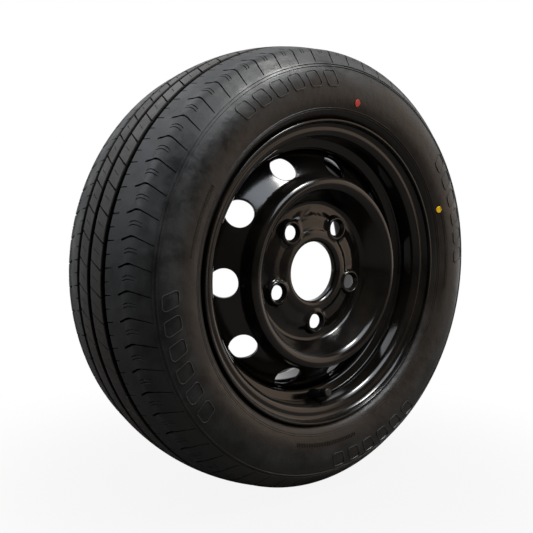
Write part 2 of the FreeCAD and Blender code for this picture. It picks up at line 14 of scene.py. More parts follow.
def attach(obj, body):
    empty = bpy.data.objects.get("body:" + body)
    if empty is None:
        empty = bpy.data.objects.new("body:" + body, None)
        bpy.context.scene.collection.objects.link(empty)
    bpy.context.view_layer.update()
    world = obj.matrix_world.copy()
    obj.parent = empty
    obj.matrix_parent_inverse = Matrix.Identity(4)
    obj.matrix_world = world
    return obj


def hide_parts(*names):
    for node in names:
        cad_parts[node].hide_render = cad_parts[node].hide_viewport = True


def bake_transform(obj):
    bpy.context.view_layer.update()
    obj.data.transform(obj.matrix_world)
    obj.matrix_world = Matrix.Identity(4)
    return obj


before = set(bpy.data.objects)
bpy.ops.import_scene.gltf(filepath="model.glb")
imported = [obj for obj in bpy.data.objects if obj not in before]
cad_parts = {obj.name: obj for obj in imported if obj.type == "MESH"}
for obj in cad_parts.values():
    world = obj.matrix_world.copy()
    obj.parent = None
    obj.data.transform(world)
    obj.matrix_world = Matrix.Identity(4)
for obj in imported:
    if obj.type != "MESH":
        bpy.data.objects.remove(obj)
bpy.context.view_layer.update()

# %% [markdown]
# ## Small tools
# A wheel is round, so places are easiest to give as a distance along the axle, a radius and an angle.
# Sizes are written in millimetres, as on a drawing, and turned to metres where a mesh is made.

# %% Places and pieces
MM = 0.001


def on_wheel(along, radius, angle):
    """A point in metres, from millimetres and degrees counted from +X towards +Z."""
    turn = math.radians(angle)
    return Vector((radius * math.cos(turn), along, radius * math.sin(turn))) * MM


def new_piece(name, points, edges=(), faces=()):
    """A mesh object at the origin, linked to the scene."""
    mesh = bpy.data.meshes.new(name)
    mesh.from_pydata(points, edges, faces)
    piece = bpy.data.objects.new(name, mesh)
    bpy.context.scene.collection.objects.link(piece)
    return piece


def keep_result(piece):
    """Replaces a piece's mesh by what its modifiers make of it."""
    bpy.context.view_layer.update()
    graph = bpy.context.evaluated_depsgraph_get()
    made = bpy.data.meshes.new_from_object(piece.evaluated_get(graph))
    start = piece.data
    piece.modifiers.clear()
    piece.data = made
    bpy.data.meshes.remove(start)
    made.name = piece.name
    return piece


def smooth(piece, sharp_angle=35.0, closed=True):
    """Turns a closed shell's faces outwards and shades it smooth between its sharp edges."""
    if closed:
        shell = bmesh.new()
        shell.from_mesh(piece.data)
        bmesh.ops.recalc_face_normals(shell, faces=shell.faces)
        shell.to_mesh(piece.data)
        shell.free()
    piece.data.shade_smooth()
    piece.data.set_sharp_from_angle(angle=math.radians(sharp_angle))
    return piece


def settle(piece, body, slot, *nodes):
    """Gives a finished piece its body and hides the CAD nodes it stands for. The slot is not used."""
    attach(piece, body)
    if nodes:
        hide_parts(*nodes)
    triangles = sum(len(face.vertices) - 2 for face in piece.data.polygons)
    print(piece.name, "on", body, "with", triangles, "triangles")


print("tools ready")

# %% [markdown]
# ## Node trees that the pieces share
# Two tools make most of this object. A lathe turns a profile round the axle, and a dividing head sets
# copies of one piece round it. Both are Geometry Nodes trees, so their sizes are inputs that can be changed.
# The lathe lays out a grid, reads the profile point for each row and swings it to the angle of each column.
# Points that lie closer together than WELD, in metres, are made one.

# %% Lathe tree
def feed(tree, node, links):
    """Links sockets to a node's inputs. A node given as a source stands for its first output."""
    for socket, source in links.items():
        tree.links.new(getattr(source, "outputs", [source])[0], node.inputs[socket])


def add_node(tree, kind, values=None, links=None, stops=(), **settings):
    """Adds a node with its settings, socket values, colour stops and the sources that feed it."""
    node = tree.nodes.new(kind)
    for name, value in settings.items():
        setattr(node, name, value)
    for socket, value in (values or {}).items():
        node.inputs[socket].default_value = value
    feed(tree, node, links or {})
    for stop, (position, colour) in enumerate(stops):
        node.color_ramp.elements[stop].position = position
        node.color_ramp.elements[stop].color = colour
    return node


def start_tree(name, inputs):
    """An empty Geometry Nodes tree with named inputs, and the sockets they arrive at."""
    tree = bpy.data.node_groups.new(name, "GeometryNodeTree")
    for socket, kind in inputs.items():
        tree.interface.new_socket(socket, in_out="INPUT", socket_type="NodeSocket" + kind)
    tree.interface.new_socket("Geometry", in_out="OUTPUT", socket_type="NodeSocketGeometry")
    return tree, add_node(tree, "NodeGroupInput").outputs


def end_tree(tree, geometry, finish):
    """Realizes what the tree made, gives it its material and sends it out."""
    solid = add_node(tree, "GeometryNodeRealizeInstances", links={"Geometry": geometry})
    painted = add_node(tree, "GeometryNodeSetMaterial", links={"Geometry": solid, "Material": finish})
    add_node(tree, "NodeGroupOutput", links={0: painted})


WELD = 0.000002
lathe, given = start_tree("Lathe", {"Profile": "Geometry", "Segments": "Int", "Finish": "Material"})
count = add_node(lathe, "GeometryNodeAttributeDomainSize", links={"Geometry": given["Profile"]})
columns = add_node(lathe, "ShaderNodeMath", {1: 1.0}, {0: given["Segments"]}, operation="ADD")
grid = add_node(lathe, "GeometryNodeMeshGrid", links={"Vertices X": count, "Vertices Y": columns})
index = add_node(lathe, "GeometryNodeInputIndex")
share = add_node(lathe, "ShaderNodeMath", links={0: index, 1: columns}, operation="DIVIDE")
row = add_node(lathe, "ShaderNodeMath", links={0: share}, operation="FLOOR")
column = add_node(lathe, "ShaderNodeMath", links={0: index, 1: columns}, operation="MODULO")
step = add_node(lathe, "ShaderNodeMath", {0: 2 * math.pi}, {1: given["Segments"]}, operation="DIVIDE")
turn = add_node(lathe, "ShaderNodeMath", links={0: column, 1: step}, operation="MULTIPLY")
place = add_node(lathe, "GeometryNodeInputPosition")
read = add_node(lathe, "GeometryNodeSampleIndex", data_type="FLOAT_VECTOR", domain="POINT", links={
    "Geometry": given["Profile"], "Value": place, "Index": row})
profile = add_node(lathe, "ShaderNodeSeparateXYZ", links={0: read})
swung = {}
for side, operation in (("X", "COSINE"), ("Z", "SINE")):
    wave = add_node(lathe, "ShaderNodeMath", links={0: turn}, operation=operation)
    swung[side] = add_node(lathe, "ShaderNodeMath", operation="MULTIPLY", links={
        0: profile.outputs["X"], 1: wave})
spot = add_node(lathe, "ShaderNodeCombineXYZ", links={
    "X": swung["X"], "Y": profile.outputs["Y"], "Z": swung["Z"]})
moved = add_node(lathe, "GeometryNodeSetPosition", links={"Geometry": grid, "Position": spot})
welded = add_node(lathe, "GeometryNodeMergeByDistance", {"Distance": WELD}, {"Geometry": moved})
end_tree(lathe, welded, given["Finish"])
print("lathe tree with", len(lathe.nodes), "nodes")

# %% [markdown]
# The dividing head puts one point per copy at the axle and turns the copy there. A piece that is made
# at angle 0 then lands at its own angle. Copies that meet edge to edge, such as the pitches of a tyre,
# are welded.

# %% Dividing head tree
dividing, given = start_tree("Dividing head", {
    "Piece": "Geometry", "Count": "Int", "First": "Float", "Step": "Float", "Finish": "Material"})
spots = add_node(dividing, "GeometryNodePoints", links={"Count": given["Count"]})
index = add_node(dividing, "GeometryNodeInputIndex")
swing = add_node(dividing, "ShaderNodeMath", operation="MULTIPLY_ADD", links={
    0: index, 1: given["Step"], 2: given["First"]})
radians = add_node(dividing, "ShaderNodeMath", {1: -math.pi / 180}, {0: swing}, operation="MULTIPLY")
rotation = add_node(dividing, "ShaderNodeCombineXYZ", links={"Y": radians})
copies = add_node(dividing, "GeometryNodeInstanceOnPoints", links={
    "Points": spots, "Instance": given["Piece"], "Rotation": rotation})
single = add_node(dividing, "GeometryNodeRealizeInstances", links={"Geometry": copies})
welded = add_node(dividing, "GeometryNodeMergeByDistance", {"Distance": WELD}, {"Geometry": single})
end_tree(dividing, welded, given["Finish"])


def run_tree(piece, tree, **inputs):
    """Runs a node tree on a piece and keeps the plain mesh. Inputs are set by their identifiers."""
    modifier = piece.modifiers.new(tree.name, "NODES")
    modifier.node_group = tree
    for item in tree.interface.items_tree:
        if item.in_out == "INPUT" and item.name in inputs:
            modifier[item.identifier] = inputs[item.name]
    return keep_result(piece)


print("dividing head tree with", len(dividing.nodes), "nodes")

# %% [markdown]
# ## Rounded outlines
# Sheet steel is bent, never folded sharp. An outline is a list of corners (along the axle, radius) with a
# radius at each. Each corner becomes a row of points on its arc, a few degrees apart.

# %% Outlines
ARC_STEP = 9.0
STRAIGHT = 0.001


def heading(start, end):
    """The unit step from one point towards another."""
    run = math.dist(start, end)
    return ((end[0] - start[0]) / run, (end[1] - start[1]) / run)


def shifted(point, way, distance):
    """A point moved by a distance along a direction."""
    return (point[0] + way[0] * distance, point[1] + way[1] * distance)


def round_corner(before, corner, after, radius, step=ARC_STEP):
    """Points on the arc that rounds one corner."""
    back = heading(corner, before)
    on = heading(corner, after)
    opening = math.acos(max(-1.0, min(1.0, back[0] * on[0] + back[1] * on[1])))
    turn = math.pi - opening
    if radius <= 0 or turn < STRAIGHT:
        return [corner]
    setback = radius * math.tan(turn / 2)
    first = shifted(corner, back, setback)
    middle = (back[0] + on[0], back[1] + on[1])
    reach = radius / math.cos(turn / 2) / math.hypot(*middle)
    centre = shifted(corner, middle, reach)
    arm = (first[0] - centre[0], first[1] - centre[1])
    side = 1 if back[0] * on[1] - back[1] * on[0] < 0 else -1
    count = max(2, math.ceil(math.degrees(turn) / step))
    points = []
    for index in range(count + 1):
        angle = side * turn * index / count
        points.append((
            centre[0] + arm[0] * math.cos(angle) - arm[1] * math.sin(angle),
            centre[1] + arm[0] * math.sin(angle) + arm[1] * math.cos(angle),
        ))
    return points


def rounded_line(corners, radii, step=ARC_STEP):
    """An open line with its inner corners rounded."""
    points = [corners[0]]
    for before, corner, after, radius in zip(corners, corners[1:], corners[2:], radii):
        points += round_corner(before, corner, after, radius, step)
    return points + [corners[-1]]


def rounded_loop(corners, radii, step=ARC_STEP):
    """A closed outline with its corners rounded. The first point is repeated at the end."""
    points = []
    for index, radius in enumerate(radii):
        before, corner, after = (corners[(index + shift) % len(corners)] for shift in (-1, 0, 1))
        points += round_corner(before, corner, after, radius, step)
    return points + points[:1]


def sheet_sides(corners, bends, thickness):
    """The face and the back of a bent sheet, as corners and radii. The back is to the right."""
    back = []
    face_radii = []
    back_radii = []
    for place, corner in enumerate(corners):
        before = heading(*corners[place - 1:place + 1]) if place else heading(*corners[:2])
        after = heading(*corners[place:place + 2]) if place + 1 < len(corners) else before
        reach = thickness / (1 + before[0] * after[0] + before[1] * after[1])
        back.append(shifted(corner, (before[1] + after[1], -before[0] - after[0]), reach))
        if 0 < place < len(corners) - 1:
            right = before[0] * after[1] - before[1] * after[0] < 0
            bend = bends[place - 1]
            face_radii.append(bend + thickness if right else bend)
            back_radii.append(bend if right else bend + thickness)
    return face_radii, back, back_radii


def turned(name, outline, finish, segments):
    """A piece turned from an outline of (along the axle, radius) points."""
    points = [(radius * MM, along * MM, 0) for along, radius in outline]
    edges = [(place, place + 1) for place in range(len(points) - 1)]
    piece = new_piece(name, points, edges)
    return smooth(run_tree(piece, lathe, Segments=segments, Finish=finish))


print("outline tools ready")

# %% [markdown]
# ## Finishes
# Colours are written as sRGB hex values, as a picture program shows them, and one function turns them
# to the linear values that Blender mixes light with.

# %% Colours
def linear(code):
    """A linear colour from an sRGB hex value such as 2A2B2C."""
    shares = [int(code[place:place + 2], 16) / 255 for place in (0, 2, 4)]
    return tuple(c / 12.92 if c <= 0.04045 else ((c + 0.055) / 1.055) ** 2.4 for c in shares) + (1.0,)


def new_finish(name, colour, roughness, **values):
    """A material with its main values set on the shader, and the tree to add detail to."""
    finish = bpy.data.materials.new(name)
    finish.use_nodes = True
    shader = finish.node_tree.nodes["Principled BSDF"]
    shader.inputs["Base Color"].default_value = linear(colour)
    shader.inputs["Roughness"].default_value = roughness
    for socket, value in values.items():
        shader.inputs[socket.replace("_", " ")].default_value = value
    return finish, finish.node_tree, shader


def per_mm(size):
    """The texture scale at which one feature is about this many millimetres."""
    return 1 / (size * MM)


print("linear mid grey:", linear("808080")[:3])

# %% [markdown]
# ### Gloss black paint on steel
# The wheel is dipped and baked, which leaves a hard shiny skin. Its black is tinted warm brown, a painted
# brown reflection. The skin has a slight orange-peel ripple a few millimetres wide, and a thin uneven film of
# shop dust dulls it in patches.

# %% Black paint
PEEL_SIZE = 3.0
FILM_SIZE = 35.0
black_paint, tree, shader = new_finish("baked_black_paint_on_steel", "0E0D0C", 0.16, IOR=1.5)
place = add_node(tree, "ShaderNodeTexCoord").outputs["Object"]
film = add_node(tree, "ShaderNodeTexNoise", {"Scale": per_mm(FILM_SIZE), "Detail": 4.0, "Roughness": 0.6},
                {"Vector": place})
# Painted brown reflection: the black is tinted warm brown, unevenly under the dust film.
tint = add_node(tree, "ShaderNodeValToRGB", links={"Fac": film},
                stops=((0.4, linear("090807")), (0.75, linear("181512"))))
gloss = add_node(tree, "ShaderNodeMapRange", {"To Min": 0.12, "To Max": 0.19}, {"Value": film})
peel = add_node(tree, "ShaderNodeTexNoise", {"Scale": per_mm(PEEL_SIZE), "Detail": 1.0}, {"Vector": place})
ripple = add_node(tree, "ShaderNodeBump", {"Strength": 0.06, "Distance": 0.0002}, {"Height": peel})
feed(tree, shader, {"Base Color": tint, "Roughness": gloss, "Normal": ripple})
print("made", black_paint.name)

# %% [markdown]
# ### Tyre rubber
# Carbon black makes tyre rubber charcoal, never pure black. The ribs that touch the road are a little
# lighter and browner. The grooves are painted darker and lose their shine the deeper they go, so their floors
# are darkest and without shine: painted shade where little light reaches. Towards the bead the rubber is
# painted darker and browner, a painted brown reflection. The skin copies the fine grain and the slight waves
# of the mould. Handling leaves it matt in clouds. The tread mesh carries a "depth" attribute that says how
# deep each point lies in a groove, which sets the painted shade, and the relief of the sidewall an attribute
# that paints the top of its raised border lighter, a painted highlight where its edges catch the light.

# %% Tyre rubber
GRAIN_SIZE = 1.2
WAVE_SIZE = 9.0
CLOUD_SIZE = 34.0
RIB_EDGE = 24.0 * MM
SHOULDER_EDGE = 31.0 * MM
TREAD_FROM = 242.0 * MM
# Painted brown reflection: from the first radius down to the second the sidewall is painted darker and
# browner.
PAINTED_REFLECTION_FADE = (208.0 * MM, 186.0 * MM)
WORN_FADE = (228.0 * MM, 238.0 * MM)
tyre_rubber, tree, shader = new_finish("tyre_rubber_moulded", "232425", 0.6, IOR=1.45)
place = add_node(tree, "ShaderNodeTexCoord").outputs["Object"]
cloud = add_node(tree, "ShaderNodeTexNoise", {"Scale": per_mm(CLOUD_SIZE), "Detail": 5.0, "Roughness": 0.65},
                 {"Vector": place})
skin = add_node(tree, "ShaderNodeValToRGB", links={"Fac": cloud},
                stops=((0.34, linear("0D0E0F")), (0.68, linear("292A2A"))))
axes = add_node(tree, "ShaderNodeSeparateXYZ", links={0: place})
across = add_node(tree, "ShaderNodeMath", links={0: axes.outputs["Y"]}, operation="ABSOLUTE")
crown = add_node(tree, "ShaderNodeMapRange", {"From Min": SHOULDER_EDGE, "From Max": RIB_EDGE},
                 {"Value": across})
upright = add_node(tree, "ShaderNodeCombineXYZ", links={"X": axes.outputs["X"], "Z": axes.outputs["Z"]})
radius = add_node(tree, "ShaderNodeVectorMath", links={0: upright}, operation="LENGTH")
outside = add_node(tree, "ShaderNodeMath", {1: TREAD_FROM}, {0: radius.outputs["Value"]},
                   operation="GREATER_THAN")
rib = add_node(tree, "ShaderNodeMath", links={0: crown, 1: outside}, operation="MULTIPLY")
# Painted brown reflection, full towards the bead.
painted_reflection = add_node(tree, "ShaderNodeMapRange", {"From Min": PAINTED_REFLECTION_FADE[0], "From Max": PAINTED_REFLECTION_FADE[1]},
                {"Value": radius.outputs["Value"]})
# Painted highlight: the top of the sidewall relief is painted lighter, where its edges would catch the light.
painted_relief_highlight = add_node(tree, "ShaderNodeAttribute", attribute_name="painted_relief_highlight").outputs["Fac"]
# Painted shade: the deeper a point lies in a groove, the nearer black it is painted.
depth = add_node(tree, "ShaderNodeAttribute", attribute_name="depth").outputs["Fac"]
colour = skin
# Tones mixed over the skin: painted brown reflection towards the bead, worn ribs, painted highlight on the
# relief, painted shade in the grooves.
for code, amount in (("1C1713", painted_reflection), ("2A2724", rib), ("3B3936", painted_relief_highlight), ("030303", depth)):
    colour = add_node(tree, "ShaderNodeMixRGB", {"Color2": linear(code)}, {"Fac": amount, "Color1": colour})
matt = add_node(tree, "ShaderNodeMapRange", {
    "From Min": 0.36, "From Max": 0.64, "To Min": 0.31, "To Max": 0.55}, {"Value": cloud})
worn = add_node(tree, "ShaderNodeMapRange", {
    "From Min": WORN_FADE[0], "From Max": WORN_FADE[1], "To Max": 0.16}, {"Value": radius.outputs["Value"]})
rough = add_node(tree, "ShaderNodeMath", operation="ADD", links={0: matt, 1: worn})
# Painted shade: the grooves lose their shine the deeper they go.
shine = add_node(tree, "ShaderNodeMapRange", {"To Min": 0.5, "To Max": 0.05}, {"Value": depth})
wave = add_node(tree, "ShaderNodeTexNoise", {"Scale": per_mm(WAVE_SIZE), "Detail": 3.0}, {"Vector": place})
uneven = add_node(tree, "ShaderNodeBump", {"Strength": 0.45, "Distance": 0.0009}, {"Height": wave})
grain = add_node(tree, "ShaderNodeTexNoise", {"Scale": per_mm(GRAIN_SIZE), "Detail": 3.0}, {"Vector": place})
relief = add_node(tree, "ShaderNodeBump", {"Strength": 0.35, "Distance": 0.0003},
                  {"Height": grain, "Normal": uneven})
feed(tree, shader, {"Base Color": colour, "Specular IOR Level": shine, "Roughness": rough, "Normal": relief})
print("made", tyre_rubber.name)

# %% [markdown]
# ### Valve rubber, brass, spring wire and cap plastic
# The small pieces of the valve: soft smooth rubber, turned brass, hard-drawn wire and moulded plastic. Each
# is slightly mottled and has a fine relief of its own size.

# %% Finishes of the valve
def with_relief(finish, tree, shader, size, height, shades):
    """Adds a mottled colour and a fine relief of one size to a plain finish."""
    place = add_node(tree, "ShaderNodeTexCoord").outputs["Object"]
    speckle = add_node(tree, "ShaderNodeTexNoise", {"Scale": per_mm(size), "Detail": 3.0}, {"Vector": place})
    tint = add_node(tree, "ShaderNodeValToRGB", links={"Fac": speckle},
                    stops=((0.35, linear(shades[0])), (0.7, linear(shades[1]))))
    relief = add_node(tree, "ShaderNodeBump", {"Strength": 0.3, "Distance": height * MM},
                      {"Height": speckle})
    feed(tree, shader, {"Base Color": tint, "Normal": relief})
    print("made", finish.name)
    return finish


valve_rubber = with_relief(*new_finish("valve_rubber_smooth", "1A1A1A", 0.5, IOR=1.5),
                           1.5, 0.1, ("151515", "222222"))
brass = with_relief(*new_finish("brass_turned", "B08A45", 0.28, Metallic=1.0),
                    0.6, 0.03, ("9C7838", "BE9A54"))
spring_wire = with_relief(*new_finish("spring_steel_drawn", "A9A9AA", 0.32, Metallic=1.0),
                          0.4, 0.02, ("9A9A9C", "B6B6B6"))
cap_plastic = with_relief(*new_finish("cap_plastic_moulded", "141414", 0.42, IOR=1.46),
                          0.9, 0.05, ("101010", "1B1B1B"))

# %% [markdown]
# ## Rim
# The rim is one strip of steel, rolled through bent flanges, bead seats, a ledge that carries the disc and
# a deep well. Its outline is the same sheet as in the CAD model, with the cut edges of the lips rounded off.
# A lathe is the natural tool: one outline, turned once.

# %% Turn the rim
RIM_SHEET = 2.8
HALF_RIM = 69.85
SEAT = 152.0
LEDGE = SEAT - 12.5
WELL = SEAT - 18.0
LIP = 169.3
RIM_SEGMENTS = 300
EDGE_ROUND = 1.1
WELL_BEND = 3.0

flange_corners = [
    (HALF_RIM + 11.6, LIP - 0.8), (HALF_RIM, LIP), (HALF_RIM, SEAT), (HALF_RIM - 15.0, SEAT - 1.312),
    (HALF_RIM - 19.5, SEAT), (HALF_RIM - 24.0, SEAT - 1.6),
]
flange_bends = [6.7, 6.5, 2.5, 2.5, 2.5]
ledge_and_well = [(-42.85, LEDGE), (-15.0, LEDGE), (-10.0, WELL), (12.0, WELL), (28.0, SEAT - 6.0)]
rim_line = [(-along, radius) for along, radius in flange_corners]
rim_line += ledge_and_well + flange_corners[::-1]
rim_bends = flange_bends + [WELL_BEND] * len(ledge_and_well) + flange_bends[::-1]
face_radii, rim_back, back_radii = sheet_sides(rim_line, rim_bends, RIM_SHEET)
rim_radii = [EDGE_ROUND] + face_radii + [EDGE_ROUND, EDGE_ROUND] + back_radii[::-1] + [EDGE_ROUND]
rim_outline = rounded_loop(rim_line + rim_back[::-1], rim_radii)
rim = turned("rim_rolled_steel", rim_outline, black_paint, RIM_SEGMENTS)
settle(rim, "wheel", "black_paint", "rim")

# %% [markdown]
# ## Disc
# The disc is pressed from thicker steel: a collar round the bore, five raised bolt seats, a bowl, a rounded
# crown and a sloping shoulder with ten round vents. Holes cut by a boolean leave ragged triangles that
# show in gloss paint. So the sheet is laid out: plain rings where it is round, and round every hole a
# sector whose rings grow from the hole to the sector's border. A Solidify and a Bevel then give it thickness.

# %% Lay out the disc's face
DISC_SHEET = 4.0
FIRST_BOLT = -87.1
COLUMN = 1.5
COLUMNS = 240
BOLT_RADIUS = 57.15
VENT_PLACE = (-47.8, 122.8)
VENT_SLOPE = math.tan(math.radians(37.0))
SKIRT = 136.55
SKIRT_LENGTH = 16.0
FOOT = 108.5
COLLAR_FRONT = -55.0
HUB_FLAT = -49.0
CROWN_TOP = 100.0
LINE_STEPS = 4000
RING_GAP = 0.05

foot = (VENT_PLACE[0] + (FOOT - VENT_PLACE[1]) * VENT_SLOPE, FOOT)
shoulder = (VENT_PLACE[0] + (SKIRT - VENT_PLACE[1]) * VENT_SLOPE, SKIRT)
disc_corners = [
    (-45.0, 33.55), (COLLAR_FRONT, 33.55), (COLLAR_FRONT, 46.0), (-52.5, 48.5), (-52.5, 62.5),
    (HUB_FLAT, 66.5), (HUB_FLAT, 79.0), (-78.5, 94.0), (-78.5, 106.5), foot, shoulder,
    (shoulder[0] + SKIRT_LENGTH, SKIRT),
]
disc_radii = [5.0, 6.0, 2.0, 6.0, 2.0, 6.0, 10.5, 6.5, 5.0, 7.0]
disc_line = rounded_line(disc_corners, disc_radii, step=5.0)
lengths = [0.0]
for start, end in zip(disc_line, disc_line[1:]):
    lengths.append(lengths[-1] + math.dist(start, end))


def along_line(length):
    """The disc's face at a length along its line, counted from the bore's back edge."""
    place = next((i for i, known in enumerate(lengths[1:]) if known >= length), len(lengths) - 2)
    share = (length - lengths[place]) / (lengths[place + 1] - lengths[place])
    start, end = disc_line[place], disc_line[place + 1]
    return (start[0] + (end[0] - start[0]) * share, start[1] + (end[1] - start[1]) * share)


def length_near(wanted):
    """The length along the disc's line that comes nearest to a place."""
    steps = [lengths[-1] * part / LINE_STEPS for part in range(LINE_STEPS + 1)]
    return min(steps, key=lambda length: math.dist(along_line(length), wanted))


class Patchwork:
    """Points and faces of a sheet that is laid out patch by patch."""

    def __init__(self):
        self.points = []
        self.faces = []

    def rows(self, rows, closed):
        """Joins rows of points with four-sided faces."""
        starts = []
        for line in rows:
            starts.append(len(self.points))
            self.points += line
        width = len(rows[0])
        for first, second in zip(starts, starts[1:]):
            for place in range(width if closed else width - 1):
                after = (place + 1) % width
                self.faces.append((first + place, first + after, second + after, second + place))


def ring_band(patchwork, first, last):
    """Plain rings of the disc between two lengths along its line."""
    inside = [length for length in lengths if first + RING_GAP < length < last - RING_GAP]
    rows = []
    for length in [first] + inside + [last]:
        along, radius = along_line(length)
        rows.append([on_wheel(along, radius, FIRST_BOLT + COLUMN * step) for step in range(COLUMNS)])
    patchwork.rows(rows, closed=True)


def border(low, high, half, sides):
    """Points (length, angle) round a sector, evenly set on its four sides."""
    columns = round(2 * half / COLUMN)
    steps = [low + (high - low) * step / sides for step in range(sides)]
    angles = [-half + COLUMN * step for step in range(columns)]
    points = [(low, angle) for angle in angles]
    points += [(length, half) for length in steps]
    points += [(high, -angle) for angle in angles]
    points += [(low + high - length, -half) for length in steps]
    return points


print("disc line", round(lengths[-1], 1), "mm long with", len(disc_line), "points")

# %% [markdown]
# A vent is a circle on the sloping shoulder. Its rings are worked out on the unrolled slope, in
# millimetres along and across, and then put back on the sheet. A bolt seat is laid out in the plane of the
# hub, and its rings also carry the cone of the seat and the boss around it.

# %% Vents and bolt seats
VENTS = 10
VENT_HALF = 180 / VENTS
VENT_SIDES = 14
VENT_BAND = (19.5, 18.5)
VENT_RINGS = (15.8, 16.9, 18.0)
VENT_SPREAD = (0.15, 0.35, 0.6, 0.8, 1.0)
BOLTS = 5
BOLT_HALF = 180 / BOLTS
BOLT_SIDES = 16
BOLT_BAND = (38.9, 75.0)
SEAT_RINGS = (8.0, 8.6, 10.3, 10.8, 11.3, 11.9, 12.5, 13.1, 13.8, 14.5, 15.3)
SEAT_MOUTH = 10.8
SEAT_FRONT = -56.1
SEAT_CONE = math.tan(math.radians(30.0))
BOSS_TOP = 12.1
BOSS_FOOT = 15.3
BOLT_SPREAD = (0.2, 0.5, 0.75, 1.0)
FLAT_MARGIN = (1.0, 9.0)

disc_sheet = Patchwork()
vent_length = length_near(VENT_PLACE)
vent_start = vent_length - VENT_BAND[0]
vent_end = vent_length + VENT_BAND[1]
bolt_start = length_near((COLLAR_FRONT, BOLT_BAND[0]))
bolt_end = length_near((HUB_FLAT, BOLT_BAND[1]))
ring_band(disc_sheet, 0.0, bolt_start)
ring_band(disc_sheet, bolt_end, vent_start)
ring_band(disc_sheet, vent_end, lengths[-1])


def hole_patch(edge, rings, spread, place):
    """Rings round a hole, then rows that spread from the last ring to the edge of the sector."""
    rows = []
    for radius in rings:
        rows.append([place(*(radius * part / math.hypot(*spot) for part in spot)) for spot in edge])
    for share in spread:
        rows.append([])
        for spot in edge:
            start = rings[-1] / math.hypot(*spot)
            rows[-1].append(place(*(part * (start + (1 - start) * share) for part in spot)))
    disc_sheet.rows(rows, closed=True)


def vent_sector(centre):
    """The sheet round one vent."""
    edge = []
    for length, angle in border(vent_start, vent_end, VENT_HALF, VENT_SIDES):
        edge.append((length - vent_length, along_line(length)[1] * math.radians(angle)))

    def place(up, across):
        along, radius = along_line(vent_length + up)
        return on_wheel(along, radius, centre + math.degrees(across / radius))

    hole_patch(edge, VENT_RINGS, VENT_SPREAD, place)


flat_from = bolt_start - FLAT_MARGIN[0]
flat_to = bolt_end + FLAT_MARGIN[1]
flat_part = [place for place, length in zip(disc_line, lengths) if flat_from < length < flat_to]


def face_at(radius):
    """Place along the axle of the plain sheet between the bore and the bowl."""
    for start, end in zip(flat_part, flat_part[1:]):
        if start[1] <= radius <= end[1]:
            return start[0] + (end[0] - start[0]) * (radius - start[1]) / (end[1] - start[1])
    return COLLAR_FRONT if radius < BOLT_RADIUS else HUB_FLAT


def bolt_height(reach, along):
    """Where the face lies at a distance from the bolt, given the plain sheet's place there."""
    if reach < SEAT_MOUTH:
        return SEAT_FRONT + (SEAT_MOUTH - reach) / SEAT_CONE
    part = min(1.0, max(0.0, (reach - BOSS_TOP) / (BOSS_FOOT - BOSS_TOP)))
    fall = part * part * (3 - 2 * part)
    return SEAT_FRONT + (along - SEAT_FRONT) * fall


def bolt_sector(centre):
    """The sheet round one bolt seat, worked out in the plane of the seat."""
    edge = []
    for length, angle in border(bolt_start, bolt_end, BOLT_HALF, BOLT_SIDES):
        radius = along_line(length)[1]
        turn = math.radians(angle)
        edge.append((radius * math.cos(turn) - BOLT_RADIUS, radius * math.sin(turn)))

    def place(out, across):
        radius = math.hypot(BOLT_RADIUS + out, across)
        angle = centre + math.degrees(math.atan2(across, BOLT_RADIUS + out))
        return on_wheel(bolt_height(math.hypot(out, across), face_at(radius)), radius, angle)

    hole_patch(edge, SEAT_RINGS, BOLT_SPREAD, place)


for step in range(VENTS):
    vent_sector(FIRST_BOLT + VENT_HALF + 2 * VENT_HALF * step)
for step in range(BOLTS):
    bolt_sector(FIRST_BOLT + 2 * BOLT_HALF * step)
print("disc sheet with", len(disc_sheet.faces), "faces")

# %% [markdown]
# The patches meet edge to edge, so welding their points makes one sheet. Its face has to look towards the
# street before it is thickened, and a narrow bevel takes the sharpness off every cut edge.

# %% Thicken the disc
EDGE_BEVEL = 0.6
CUT_ANGLE = 50.0
SHEET_WELD = 10 * WELD
disc = new_piece("disc_pressed_steel", disc_sheet.points, faces=disc_sheet.faces)
sheet = bmesh.new()
sheet.from_mesh(disc.data)
bmesh.ops.remove_doubles(sheet, verts=sheet.verts, dist=SHEET_WELD)
bmesh.ops.recalc_face_normals(sheet, faces=sheet.faces)


def from_crown(face):
    """How far, in metres, a face lies from the top of the crown."""
    middle = face.calc_center_median()
    return abs(math.hypot(middle.x, middle.z) - CROWN_TOP * MM)


if min(sheet.faces, key=from_crown).normal.y > 0:
    bmesh.ops.reverse_faces(sheet, faces=sheet.faces)
sheet.to_mesh(disc.data)
sheet.free()
disc.data.materials.append(black_paint)
skin = disc.modifiers.new("Sheet thickness", "SOLIDIFY")
skin.thickness = DISC_SHEET * MM
skin.offset = -1
edges = disc.modifiers.new("Rounded edges", "BEVEL")
edges.width = EDGE_BEVEL * MM
edges.segments = 2
edges.limit_method = "ANGLE"
edges.angle_limit = math.radians(CUT_ANGLE)
smooth(keep_result(disc), sharp_angle=40.0, closed=False)
settle(disc, "wheel", "black_paint", "disc")

# %% [markdown]
# ## Tyre
# A tyre mould is cut in equal pitches, so the tyre is made like the mould: one pitch is drawn with all its
# slots, and the dividing head repeats it round the wheel. A row of points runs round the whole section, out
# over the tread and back along the lining, so the pitch is part of one closed skin.
# The section is a crown arc, a shoulder arc and two sidewall arcs, each given by its ends and its bulge.

# %% Section of the tyre
TYRE_RADIUS = 251.4
CROWN_ARC = 217.0
TREAD_EDGE = 55.0
SHOULDER = (70.8, 235.0)
WIDEST = (88.0, 200.0)
WALL_FOOT = (80.95, 173.6)
SHOULDER_BULGE = 2.6
UPPER_BULGE = 5.3
LOWER_BULGE = 2.2


def crown_radius(across):
    """Radius of the crown arc at a distance from the tyre's middle."""
    return TYRE_RADIUS - CROWN_ARC + math.sqrt(CROWN_ARC ** 2 - across ** 2)


